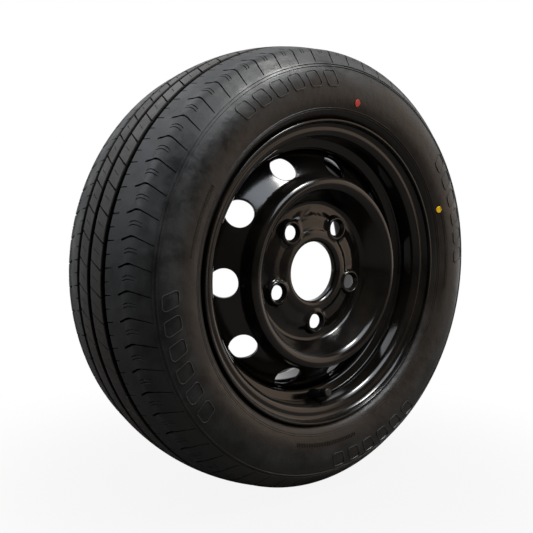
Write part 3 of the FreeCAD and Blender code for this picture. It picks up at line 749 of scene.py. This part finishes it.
def bulged_arc(start, end, bulge):
    """Centre and radius of the arc that rises by a bulge over the chord from start to end."""
    chord = heading(start, end)
    half = math.dist(start, end) / 2
    radius = (half * half + bulge * bulge) / (2 * bulge)
    drop = radius - bulge
    middle = ((start[0] + end[0]) / 2, (start[1] + end[1]) / 2)
    return shifted(middle, (chord[1], -chord[0]), drop), radius


shoulder_arc = bulged_arc((TREAD_EDGE, crown_radius(TREAD_EDGE)), SHOULDER, SHOULDER_BULGE)
upper_wall = bulged_arc(SHOULDER, WIDEST, UPPER_BULGE)
lower_wall = bulged_arc(WIDEST, WALL_FOOT, LOWER_BULGE)


def tread_radius(across):
    """Radius of the uncut tread and shoulder at a distance from the tyre's middle."""
    if across <= TREAD_EDGE:
        return crown_radius(across)
    (middle, height), radius = shoulder_arc if across < SHOULDER[0] else upper_wall
    return height + math.sqrt(radius ** 2 - (across - middle) ** 2)


def wall_point(radius, lift=0.0):
    """A point (half width, radius) on the sidewall, or lifted off it."""
    (middle, height), reach = upper_wall if radius > WIDEST[1] else lower_wall
    out = math.sqrt(reach ** 2 - (radius - height) ** 2)
    return (middle + out * (1 + lift / reach), radius + (radius - height) * lift / reach)


print("shoulder at", [round(tread_radius(across), 1) for across in (49.0, 62.4, 79.0)])

# %% [markdown]
# Each slot of the tread has a start and an end across the tyre, a width at each, a depth and a number of
# cuts. "Main" slots are the chevrons, the nicks at the groove and the slanted cuts of the ribs. "Faint" ones
# lie half a pitch on, and the faint chevrons are two thin cuts with a land between them.
# A groove has a middle, a half width at the top and a half width at its floor.
# The slant is a shear: the table says how far, in degrees, the columns are swung at each place.

# %% Tread pattern
PITCHES = 59
PITCH = 360 / PITCHES
FIRST_PITCH = 3.85
PATTERN_RADIUS = 245.0
SLOT_WALL = 0.25
NARROW_WALL = 0.4
TWIN_WALL = 0.55
END_WALL = 0.2
PLAIN_WIDTH = 1.0
PLAIN_ROWS = (5.0, 10.0, 15.0, 20.0, 30.0, 35.0, 40.0, 45.0, 70.0, 75.0)
ROW_GAP = 0.15
NEAR = 0.01
GROOVE_DEPTH = 7.0
GROOVE_LIP = 0.3
SHADE_DEPTH = 1.6
GROOVES = ((0.0, 3.8, 2.7), (26.1, 3.8, 2.7))
TREAD_END = 79.6
MAIN_SLOTS = (
    (3.8, 22.3, 1.4, 2.3, 2.6, 1), (29.9, 38.7, 1.3, 0.9, 1.8, 1),
    (49.0, 62.4, 2.3, 2.3, 4.5, 1), (62.4, 79.0, 1.8, 1.2, 2.2, 1),
)
FAINT_SLOTS = (
    (8.0, 18.0, 0.9, 0.9, 0.8, 1), (29.9, 36.0, 1.1, 0.8, 1.5, 1), (55.3, 68.4, 4.6, 4.6, 1.3, 2),
)
CHEVRON_BEND = ((58.4, 0.39), (60.4, 0.25), (62.4, 0.2), (64.4, 0.25), (66.4, 0.41))
SLANT_END = 100.0
SLANT = (
    (0.0, 0.0), (3.8, 0.55), (22.3, 2.7), (29.9, 1.9), (49.0, 1.3), *CHEVRON_BEND,
    (79.0, 1.7), (SLANT_END, 1.7),
)


def table_value(table, place):
    """Straight-line reading of a table of (place, value) pairs."""
    for (first, low), (last, high) in zip(table, table[1:]):
        if place <= last:
            return low + (high - low) * (place - first) / (last - first)
    return table[-1][1]


def slot_columns(slots, across):
    """Columns (millimetres from the slot's middle, depth) at a place. A place without a slot has them too."""
    width, depth, cuts = PLAIN_WIDTH, 0.0, 1
    for start, end, first_width, last_width, slot_depth, slot_cuts in slots:
        if start - NEAR <= across <= end + NEAR:
            share = (across - start) / (end - start)
            width = first_width + (last_width - first_width) * share
            depth, cuts = slot_depth, slot_cuts
            break
    half = width / 2
    wall = TWIN_WALL if cuts == 2 else min(SLOT_WALL, NARROW_WALL * half)
    land = 0.0 if cuts == 2 else depth
    side = [(half, 0.0), (half - wall, depth), (half - 2 * wall, land)]
    return [(-place, deep) for place, deep in side] + side[::-1]


def tread_rows():
    """Rows (half width, radius) from the tyre's middle to the end of the chevrons, grooves cut."""
    wanted = {*PLAIN_ROWS, TREAD_EDGE, TREAD_END} | {place for place, _ in CHEVRON_BEND}
    for start, end, *_ in MAIN_SLOTS + FAINT_SLOTS:
        wanted |= {start - END_WALL, start, end, end + END_WALL}
    rows = []
    for across in sorted(wanted):
        in_groove = any(abs(across - middle) < half for middle, half, _ in GROOVES)
        if not in_groove and (not rows or across - rows[-1][0] > ROW_GAP):
            rows.append((across, tread_radius(across)))
    for middle, half, floor in GROOVES:
        depth = crown_radius(middle) - GROOVE_DEPTH
        for side in (1, -1) if middle else (1,):
            rows.append((middle + side * floor, depth))
            rows.append((middle + side * (half - GROOVE_LIP), crown_radius(middle) - SHADE_DEPTH))
    return sorted(rows)


print(len(tread_rows()), "rows over half the tread")

# %% [markdown]
# Thin moulded rings run round the sidewall, each with a radius, a width and a height. They are rows that step
# up and down again. Below them come the bead, which follows the rim's flange and seat, and the plain lining
# of the air space.

# %% Rows of the sidewall, bead and lining
RINGS = ((226.2, 1.1, 0.8), (223.6, 1.0, 0.8), (179.6, 0.7, 0.35), (177.6, 0.7, 0.35))
RING_WALL = 0.25
PLAIN_WALL = (222.0, 217.0, 212.0, 207.0, 202.0, 197.5, 193.0, 188.5, 184.0, 175.5)
FLANGE_BEND = (79.35, 159.8, 9.7)
FLANGE_TURNS = (130, 142, 155, 168, 180)
BEAD_FACE = (69.65, 159.0)
HEEL = (69.65, 152.2)
TOE = (55.85, 150.97)
TOE_TOP = (55.85, 155.97)
HEEL_ROUND = 6.2
TOE_ROUND = 1.0
LINING_CROWN = (0.0, 238.4)
LINING = [(67.45, 173.6), (76.4, 186.0), (81.2, 200.0), (76.5, 217.0), (59.8, 231.3), (30.0, 236.8)]


def wall_rows():
    """Rows from the end of the tread down the sidewall, with its rings."""
    wanted = [(radius, 0.0) for radius in PLAIN_WALL]
    for middle, width, height in RINGS:
        half = width / 2
        wanted += [(middle + half + RING_WALL, 0.0), (middle + half, height)]
        wanted += [(middle - half, height), (middle - half - RING_WALL, 0.0)]
    return [wall_point(radius, lift) for radius, lift in sorted(wanted, reverse=True)]


def bead_rows():
    """Rows from the foot of the sidewall over the flange and the seat to the top of the toe."""
    middle, height, reach = FLANGE_BEND
    rows = [WALL_FOOT]
    for turn in map(math.radians, FLANGE_TURNS):
        rows.append((middle + reach * math.cos(turn), height + reach * math.sin(turn)))
    heel = round_corner(BEAD_FACE, HEEL, TOE, HEEL_ROUND, step=18)
    return rows + heel + round_corner(heel[-1], TOE, TOE_TOP, TOE_ROUND, step=30) + [TOE_TOP]


half_section = tread_rows() + wall_rows() + bead_rows()
lining_rows = LINING + [LINING_CROWN] + [(-across, radius) for across, radius in LINING[::-1]]
section = [(-across, radius) for across, radius in half_section[::-1]] + half_section + lining_rows
outer_rows = 2 * len(half_section)
print("section with", len(section), "rows")

# %% [markdown]
# Where there is no tread, the columns of a slot close up to one line, and the dividing head welds them. So
# the sidewalls, the beads and the lining carry fewer faces. The two halves of the tread lie half a pitch
# apart. What lies deeper than SHADE_DEPTH takes the full painted shade of a groove.

# %% Mould one pitch and repeat it
HALF_PITCH_MM = math.radians(PITCH) * PATTERN_RADIUS / 2
LINING_SLANT = 60.0
SHOULDER_DROP = 8.0


def pitch_columns(across, spread):
    """Columns of one pitch at a place across the tyre, as (degrees, depth) pairs."""
    size = abs(across)
    slots = [slot_columns(MAIN_SLOTS, size), slot_columns(FAINT_SLOTS, size)]
    columns = [(-HALF_PITCH_MM / 2, 0.0)]
    for middle, slot in zip((0.0, HALF_PITCH_MM), slots if across < 0 else slots[::-1]):
        columns += [(middle + spread * place, depth) for place, depth in slot]
        columns.append((middle + HALF_PITCH_MM / 2, 0.0))
    swing = math.copysign(table_value(SLANT, size), -across)
    return [(math.degrees(place / PATTERN_RADIUS) + swing, depth) for place, depth in columns]


mould = Patchwork()
mould_rows = []
painted_groove_shade = []
for order, (across, radius) in enumerate(section):
    outside = order < outer_rows
    tread = outside and abs(across) <= TREAD_END and radius > SHOULDER[1] - SHOULDER_DROP
    lining_place = math.copysign(SLANT_END, across) * min(1.0, abs(across) / LINING_SLANT)
    line = []
    for degrees, depth in pitch_columns(across if outside else lining_place, float(tread)):
        cut = depth if tread else 0.0
        below = tread_radius(abs(across)) - radius + cut if tread else 0.0
        line.append(on_wheel(across, radius - cut, degrees))
        # Painted shade of the grooves, full from SHADE_DEPTH down.
        painted_groove_shade.append(min(1.0, max(0.0, below / SHADE_DEPTH)) ** 2)
    mould_rows.append(line)
mould.rows(mould_rows + [mould_rows[0]], closed=False)
painted_groove_shade += painted_groove_shade[:len(mould_rows[0])]
tyre = new_piece("tyre_moulded", mould.points, faces=mould.faces)
tyre.data.attributes.new("depth", "FLOAT", "POINT").data.foreach_set("value", painted_groove_shade)
run_tree(tyre, dividing, Count=PITCHES, First=FIRST_PITCH, Step=PITCH, Finish=tyre_rubber)
smooth(tyre, sharp_angle=32.0)
settle(tyre, "wheel", "tyre_rubber", "tyre")

# %% [markdown]
# ### Relief and paint marks on the sidewall
# A tyre's sidewall carries raised relief. Here it is plain: blank slanted tiles with a raised border, in four
# groups, and strips of fine ribs near the bead. Both are one piece repeated by the dividing head, and both
# start a little under the rubber, so that no gap shows.

# %% Blank tiles and fine ribs
TILE_MIDDLE = 211.0
TILE_HEIGHT = 18.0
TILE_WIDTH = 17.0
TILE_SLANT = 3.0
TILE_BORDER = 1.3
TILE_ROUND = 4.0
RELIEF = 0.8
# Share of painted highlight on the top of a tile's border.
RELIEF_HIGHLIGHT = 0.75
UNDER = -0.5
TILE_WALL = 0.3
TILE_GROUPS = (20.0, 110.0, 200.0, 290.0)
TILES = 6
TILE_STEP = 6.6
TILE_PROFILE = ((0.0, UNDER), (TILE_WALL, RELIEF), (TILE_BORDER - TILE_WALL, RELIEF), (TILE_BORDER, UNDER),
                (0.0, UNDER))


def on_wall(radius, degrees, lift):
    """A point on the street-side sidewall, or lifted off it."""
    across, out = wall_point(radius, lift)
    return on_wheel(-across, out, degrees)


def tile_loop(inset, lift):
    """One round of the border of a tile, in from its outer edge."""
    high = TILE_HEIGHT / 2 - inset
    wide = TILE_WIDTH / 2 - inset
    corners = [(-high, -wide - TILE_SLANT), (high, -wide + TILE_SLANT),
               (high, wide + TILE_SLANT), (-high, wide - TILE_SLANT)]
    loop = rounded_loop(corners, [TILE_ROUND - inset] * len(corners), step=30)[:-1]
    return [on_wall(TILE_MIDDLE + up, math.degrees(across / TILE_MIDDLE), lift) for up, across in loop]


for order, middle in enumerate(TILE_GROUPS):
    tile = Patchwork()
    tile.rows([tile_loop(inset, lift) for inset, lift in TILE_PROFILE], closed=True)
    tiles = new_piece(f"sidewall_tiles_{order + 1}", tile.points, faces=tile.faces)
    points_per_loop = len(tile.points) // len(TILE_PROFILE)
    # Only the top of the border gets the painted highlight.
    relief_highlight = [RELIEF_HIGHLIGHT if lift == RELIEF else 0.0 for _, lift in TILE_PROFILE for _ in range(points_per_loop)]
    tiles.data.attributes.new("painted_relief_highlight", "FLOAT", "POINT").data.foreach_set("value", relief_highlight)
    first = middle - TILE_STEP * (TILES - 1) / 2
    run_tree(tiles, dividing, Count=TILES, First=first, Step=TILE_STEP, Finish=tyre_rubber)
    settle(smooth(tiles), "wheel", "tyre_rubber")

RIB_SPAN = (187.2, 191.4)
RIB_WIDTH = 0.8
RIB_STEP = 0.75
RIB_STRIPS = ((-8.0, 42), (150.0, 30), (255.0, 36))
BLOCK_FACES = [(0, 1, 2, 3), (7, 6, 5, 4), (0, 4, 5, 1), (1, 5, 6, 2), (2, 6, 7, 3), (3, 7, 4, 0)]

for order, (first, count) in enumerate(RIB_STRIPS):
    half = math.degrees(RIB_WIDTH / 2 / RIB_SPAN[0])
    corners = [(RIB_SPAN[0], -half), (RIB_SPAN[1], -half), (RIB_SPAN[1], half), (RIB_SPAN[0], half)]
    points = [on_wall(*corner, lift) for lift in (UNDER, RELIEF) for corner in corners]
    strip = new_piece(f"sidewall_ribs_{order + 1}", points, faces=BLOCK_FACES)
    run_tree(strip, dividing, Count=count, First=first, Step=RIB_STEP, Finish=tyre_rubber)
    settle(smooth(strip), "wheel", "tyre_rubber")

# %% [markdown]
# Two dabs of paint mark the tyre's light spot and its high spot. Each is a thin round cake that follows the
# sidewall. Its edge is two rings, given by a share of the dot's size and a lift, and the outer one dips under
# the rubber.

# %% Paint dots
DOT_SIZE = 4.1
DOT_SIDES = 24
DOT_EDGE = ((0.9, 0.6), (1.0, -0.3))


def paint_dot(name, radius, degrees, colour):
    """A thin round dab of paint that follows the sidewall."""
    finish = with_relief(*new_finish(name + "_paint", colour, 0.45), 1.2, 0.05, (colour, colour))
    points = [on_wall(radius, degrees, DOT_EDGE[0][1])]
    for share, lift in DOT_EDGE:
        for step in range(DOT_SIDES):
            turn = 2 * math.pi * step / DOT_SIDES
            up, across = DOT_SIZE * share * math.cos(turn), DOT_SIZE * share * math.sin(turn)
            points.append(on_wall(radius + up, degrees + math.degrees(across / radius), lift))
    points.append(on_wall(radius, degrees, UNDER))
    faces = []
    for step in range(DOT_SIDES):
        after = (step + 1) % DOT_SIDES
        upper, lower = 1 + step, 1 + DOT_SIDES + step
        faces += [(0, upper, 1 + after), (upper, lower, 1 + DOT_SIDES + after, 1 + after)]
        faces.append((len(points) - 1, 1 + DOT_SIDES + after, lower))
    dot = new_piece(name, points, faces=faces)
    dot.data.materials.append(finish)
    settle(smooth(dot), "wheel", None)


paint_dot("red_dot", 188.5, 81.8, "B5382C")
paint_dot("yellow_dot", 185.5, 22.0, "E9B90F")

# %% [markdown]
# ## Welds
# Five arc welds hold the disc's skirt in the rim. A weld is laid in small overlapping pools, so its bead
# swells and shrinks every few millimetres. One run is a fillet swept along the joint, and the dividing head
# sets five.

# %% Lay the welds
WELD_START = shoulder[0] + SKIRT_LENGTH
WELD_GAP = 0.05
WELD_OUTER = LEDGE - RIM_SHEET - WELD_GAP
WELD_LEG = 4.0
WELD_ARC = 40.0
WELD_STATIONS = 160
WELD_TAPER = 1.5
WELD_TIP = 0.35
POOL_ANGLE = 1.3
POOL_SWELL = 0.1
FILLET = ((0.0, 0.0), (1.0, 0.0), (0.9, -0.3), (0.62, -0.62), (0.3, -0.9), (0.0, -1.0))

run = Patchwork()
run_rows = []
for station in range(WELD_STATIONS + 1):
    degrees = WELD_ARC * (station / WELD_STATIONS - 0.5)
    to_end = min(1.0, (WELD_ARC / 2 - abs(degrees)) / WELD_TAPER)
    leg = WELD_LEG * (WELD_TIP + (1 - WELD_TIP) * math.sqrt(to_end))
    leg *= 1 - POOL_SWELL + POOL_SWELL * abs(math.sin(math.pi * degrees / POOL_ANGLE))
    run_rows.append([on_wheel(WELD_START + leg * along, WELD_OUTER + leg * inward, degrees)
                     for along, inward in FILLET])
run.rows(run_rows, closed=True)
last = len(run.points) - len(run_rows[0])
run.faces += [tuple(range(len(run_rows[0]))), tuple(range(len(run.points) - 1, last - 1, -1))]
welds = new_piece("disc_welds_fillet", run.points, faces=run.faces)
run_tree(welds, dividing, Count=BOLTS, First=FIRST_BOLT, Step=2 * BOLT_HALF, Finish=black_paint)
settle(smooth(welds, sharp_angle=50.0), "wheel", "black_paint", "disc_welds")

# %% [markdown]
# ## Valve
# The snap-in valve is a rubber plug with a brass tube through it. It stands square on the rim's sloping wall,
# so its place and direction come from the rim's own corners. Each piece is turned on the lathe about Y, from
# corners with a height, a radius and a rounding, and then moved there.

# %% Valve body and stem
VALVE_SEAT = 144.3
VALVE_SIDES = 64
VALVE_ARC_STEP = 15.0
STEM_RADIUS = 3.42
BODY_CORNERS = (
    (-8.0, 3.25, 0.2), (-8.0, 4.5, 0.6), (-6.35, 7.2, 1.0), (-2.85, 7.2, 0.6), (-2.85, 5.7, 0.2),
    (0.05, 5.7, 0.1), (0.05, 6.0, 0.1), (2.0, 6.0, 1.2), (7.0, 5.2, 6.0), (17.0, 4.6, 0.8), (17.0, 3.25, 0.2),
)
STEM_CORNERS = (
    (-8.0, 1.6, 0.1), (-8.0, 3.2, 0.3), (17.2, 3.2, 0.1), (17.5, STEM_RADIUS, 0.1), (25.6, STEM_RADIUS, 0.1),
    (26.0, 3.1, 0.1), (26.0, 2.6, 0.1), (17.0, 2.6, 0.1), (16.45, 2.05, 0.1), (7.2, 2.05, 0.1),
    (6.75, 1.6, 0.1),
)
wall_top, wall_foot = rim_line[5], rim_line[6]
slope = heading(wall_top, wall_foot)
outward = (slope[1], -slope[0])
share = (wall_top[1] - VALVE_SEAT) / (wall_top[1] - wall_foot[1])
seat_along = wall_top[0] + share * (wall_foot[0] - wall_top[0])
valve_place = on_wheel(*shifted((seat_along, VALVE_SEAT), outward, RIM_SHEET), FIRST_BOLT)
valve_way = on_wheel(*outward, FIRST_BOLT).normalized()
valve_turn = Vector((0, 1, 0)).rotation_difference(valve_way).to_matrix().to_4x4()
valve_frame = Matrix.Translation(valve_place) @ valve_turn


def valve_piece(name, corners, finish):
    """A closed outline of (height, radius, rounding) corners turned about the valve's axis."""
    places = [corner[:2] for corner in corners]
    rounding = [corner[2] for corner in corners]
    piece = turned(name, rounded_loop(places, rounding, VALVE_ARC_STEP), finish, VALVE_SIDES)
    piece.data.transform(valve_frame)
    return piece


body = valve_piece("valve_body_rubber", BODY_CORNERS, valve_rubber)
settle(body, "wheel", "valve_rubber", "valve_body")
stem = valve_piece("valve_stem_brass", STEM_CORNERS, brass)
settle(stem, "wheel", "brass", "valve_stem")

# %% [markdown]
# The stem's thread and the core's spring are both coils: a spiral curve swept with a small polygon. Four
# sides give the crests of a thread, and ten a round wire. Reversing the spiral makes it right-handed, as
# such threads are.

# %% Thread of the stem
THREAD_PITCH = 0.794
THREAD_TURNS = 10.2
THREAD_CREST = 0.4
THREAD_FOOT = 17.6
THREAD_SIDES = 4
COIL_STEPS = 40
coiling, given = start_tree("Coil", {
    "Radius": "Float", "Pitch": "Float", "Turns": "Float", "Wire": "Float", "Sides": "Int", "Foot": "Float",
    "Finish": "Material"})
rise = add_node(coiling, "ShaderNodeMath", operation="MULTIPLY", links={0: given["Pitch"], 1: given["Turns"]})
spiral = add_node(coiling, "GeometryNodeCurveSpiral", {"Resolution": COIL_STEPS, "Reverse": True}, {
    "Rotations": given["Turns"], "Start Radius": given["Radius"], "End Radius": given["Radius"],
    "Height": rise})
polygon = add_node(coiling, "GeometryNodeCurvePrimitiveCircle", links={
    "Resolution": given["Sides"], "Radius": given["Wire"]})
coil = add_node(coiling, "GeometryNodeCurveToMesh", {"Fill Caps": True}, {
    "Curve": spiral, "Profile Curve": polygon})
lift = add_node(coiling, "ShaderNodeCombineXYZ", links={"Y": given["Foot"]})
upright = add_node(coiling, "GeometryNodeTransform", {"Rotation": (-math.pi / 2, 0.0, 0.0)}, {
    "Geometry": coil, "Translation": lift})
end_tree(coiling, upright, given["Finish"])

thread = new_piece("valve_thread_brass", [])
run_tree(thread, coiling, Radius=STEM_RADIUS * MM, Pitch=THREAD_PITCH * MM, Turns=THREAD_TURNS,
         Wire=THREAD_CREST * MM, Sides=THREAD_SIDES, Foot=THREAD_FOOT * MM, Finish=brass)
thread.data.transform(valve_frame)
settle(smooth(thread), "wheel", "brass")

# %% [markdown]
# The core's spring stands on the barrel's floor and carries the collar of the pin, so it shortens when the
# pin is pressed.

# %% Spring of the core
SPRING_WIRE = 0.14
WIRE_SIDES = 10
SPRING_COIL = 0.95
SPRING_TURNS = 6.0
SPRING_FOOT = 12.24
SPRING_TOP = 18.62
spring = new_piece("core_spring_wire", [])
run_tree(spring, coiling, Radius=SPRING_COIL * MM, Pitch=(SPRING_TOP - SPRING_FOOT) / SPRING_TURNS * MM,
         Turns=SPRING_TURNS, Wire=SPRING_WIRE * MM, Sides=WIRE_SIDES, Foot=SPRING_FOOT * MM,
         Finish=spring_wire)
spring.data.transform(valve_frame)
smooth(spring)
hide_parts("core_spring")
spring_ends = [valve_frame @ Vector((0.0, height * MM, 0.0)) for height in (SPRING_FOOT, SPRING_TOP)]
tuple(spring_ends[0])
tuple(spring_ends[1])
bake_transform(spring)
print("spring blended over", SPRING_TOP - SPRING_FOOT, "mm")

# %% [markdown]
# The cap is a small plastic moulding with grip ribs. Inside, the rest of the valve core keeps its CAD shapes:
# they are turned pieces a few millimetres long, so a finish is all they need.

# %% Cap and core
CAP_CORNERS = (
    (17.5, 3.95, 0.1), (17.5, 4.75, 0.3), (27.6, 4.75, 0.4), (28.4, 4.0, 0.5), (28.4, 0.0, 0.0),
    (27.1, 0.0, 0.0), (27.1, 3.95, 0.2),
)
CAP_RIBS = 30
CAP_RIB_HALF = 0.2
CAP_RIB_CORNERS = ((4.6, 18.2), (4.95, 18.6), (4.95, 26.6), (4.6, 27.2))
cap = valve_piece("valve_cap_plastic", CAP_CORNERS, cap_plastic)
settle(cap, "cap", "cap_plastic", "valve_cap")
points = [Vector((radius, height, side)) * MM
          for side in (-CAP_RIB_HALF, CAP_RIB_HALF) for radius, height in CAP_RIB_CORNERS]
grips = new_piece("valve_cap_grips", points, faces=BLOCK_FACES)
run_tree(grips, dividing, Count=CAP_RIBS, First=0.0, Step=360 / CAP_RIBS, Finish=cap_plastic)
grips.data.transform(valve_frame)
settle(smooth(grips), "cap", "cap_plastic")

core_finishes = {
    brass: ("core_plug", "core_barrel", "core_pin", "core_cup"),
    valve_rubber: ("core_gasket", "core_cup_seal", "valve_cap_seal"),
}
for finish, names in core_finishes.items():
    for name in names:
        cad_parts[name].data.materials.clear()
        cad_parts[name].data.materials.append(finish)
print("core pieces finished:", sum(len(names) for names in core_finishes.values()))

# %% [markdown]
# ## Stage, light and camera
# The wheel stands on a pale floor in front of white. The room behind the camera is dim: gloss black looks
# black because it has something dark to mirror. So white is given only to rays from the camera, and to
# mirrored rays that run on towards the back of the stage. Sizes on the stage are in metres.

# %% Floor and world
FLOOR = -0.2517
FLOOR_HALF = 6.0
VIEW = (0.627, 0.779, 0.0)
FLOOR_WHITE = (0.2, 1.2)
SKY_WHITE = (0.2, 0.7)
SHADOW_REACH = (0.26, 0.6)
SHADOW_WHITE = 0.9
ROOM_LEVEL = 0.135
WHITE = (1.0, 1.0, 1.0, 1.0)


def white_share(tree, place, nearest, farthest):
    """How much of the white a ray may see: all of it from the camera, or the part behind the wheel."""
    depth = add_node(tree, "ShaderNodeVectorMath", {1: VIEW}, {0: place}, operation="DOT_PRODUCT")
    behind = add_node(tree, "ShaderNodeMapRange", {"From Min": nearest, "From Max": farthest},
                      {"Value": depth.outputs["Value"]}, interpolation_type="SMOOTHSTEP")
    rays = add_node(tree, "ShaderNodeLightPath").outputs
    mirrored = add_node(tree, "ShaderNodeMath", operation="MAXIMUM", links={
        0: rays["Is Glossy Ray"], 1: rays["Is Transmission Ray"]})
    part = add_node(tree, "ShaderNodeMath", operation="MULTIPLY", links={0: mirrored, 1: behind})
    return add_node(tree, "ShaderNodeMath", operation="MAXIMUM", links={0: rays["Is Camera Ray"], 1: part})


def pale_floor():
    """Floor material: a shadow close to the wheel that turns to plain white further out."""
    finish, tree, shader = new_finish("pale_floor", "55524E", 0.8)
    place = add_node(tree, "ShaderNodeTexCoord").outputs["Object"]
    away = add_node(tree, "ShaderNodeVectorMath", links={0: place}, operation="LENGTH")
    far = add_node(tree, "ShaderNodeMapRange", {
        "From Min": SHADOW_REACH[0], "From Max": SHADOW_REACH[1], "To Min": SHADOW_WHITE},
        {"Value": away.outputs["Value"]}, interpolation_type="SMOOTHSTEP")
    share = add_node(tree, "ShaderNodeMath", operation="MULTIPLY", links={
        0: white_share(tree, place, *FLOOR_WHITE), 1: far})
    white = add_node(tree, "ShaderNodeEmission", {"Color": WHITE, "Strength": 1.0})
    mixed = add_node(tree, "ShaderNodeMixShader", links={0: share, 1: shader, 2: white})
    feed(tree, tree.nodes["Material Output"], {"Surface": mixed})
    return finish


corners = [(FLOOR_HALF * x, FLOOR_HALF * y, FLOOR) for x, y in ((-1, -1), (1, -1), (1, 1), (-1, 1))]
floor = new_piece("floor", corners, faces=[(0, 1, 2, 3)])
floor.data.materials.append(pale_floor())

world = bpy.data.worlds.new("studio")
bpy.context.scene.world = world
world.use_nodes = True
tree = world.node_tree
room = tree.nodes["Background"]
room.inputs["Color"].default_value = linear("CDBDAC")
room.inputs["Strength"].default_value = ROOM_LEVEL
white = add_node(tree, "ShaderNodeBackground", {"Color": WHITE, "Strength": 1.0})
direction = add_node(tree, "ShaderNodeTexCoord").outputs["Generated"]
mixed = add_node(tree, "ShaderNodeMixShader", links={
    0: white_share(tree, direction, *SKY_WHITE), 1: room, 2: white})
feed(tree, tree.nodes["World Output"], {"Surface": mixed})
print("stage ready")

# %% [markdown]
# A small key lamp above and to the right draws the bright edges of the crown, the bowl and the rim, and a
# wide dim one beside it gives them a soft glow. Cool lamps at the left and the back light the tread, and a
# warm wall at the right fills the painted steel.

# %% Lamps and camera
def soft_lamp(name, place, width, height, power, colour):
    """A rectangular soft lamp that points at the wheel's centre."""
    lamp = bpy.data.lights.new(name, "AREA")
    lamp.shape = "RECTANGLE"
    lamp.size = width
    lamp.size_y = height
    lamp.energy = power
    lamp.color = linear(colour)[:3]
    holder = bpy.data.objects.new(name, lamp)
    holder.location = place
    holder.rotation_euler = (-Vector(place)).to_track_quat("-Z", "Y").to_euler()
    bpy.context.scene.collection.objects.link(holder)


soft_lamp("key", (0.38, -0.8, 1.8), 0.5, 0.6, 36.0, "FFFDF8")
soft_lamp("ceiling", (0.2, -1.3, 1.9), 1.8, 1.5, 38.0, "EEF5FF")
soft_lamp("left", (-1.7, 0.45, 1.25), 1.2, 1.2, 24.0, "EEF5FF")
soft_lamp("back", (-0.6, 0.9, 1.9), 1.6, 1.6, 18.0, "F4F8FF")
soft_lamp("warm_wall", (1.75, -1.15, 0.5), 1.5, 1.7, 9.0, "FFE4CB")

CAMERA_PLACE = (-0.6165, -0.7322, 0.1000)
RIGHT = Vector((0.77968, -0.62596, 0.01701))
UP = Vector((0.05161, 0.09131, 0.99450))
BACK = Vector((-0.62406, -0.77450, 0.10349))
LENS = 55.2
SENSOR = 36.0
camera = bpy.data.objects.new("camera", bpy.data.cameras.new("camera"))
camera.data.lens = LENS
camera.data.sensor_width = SENSOR
camera_turn = Matrix((RIGHT, UP, BACK)).transposed().to_4x4()
camera.matrix_world = Matrix.Translation(CAMERA_PLACE) @ camera_turn
bpy.context.scene.collection.objects.link(camera)
bpy.context.scene.camera = camera
bpy.context.scene.view_settings.view_transform = "Standard"
print("camera at", tuple(round(v, 3) for v in camera.location))
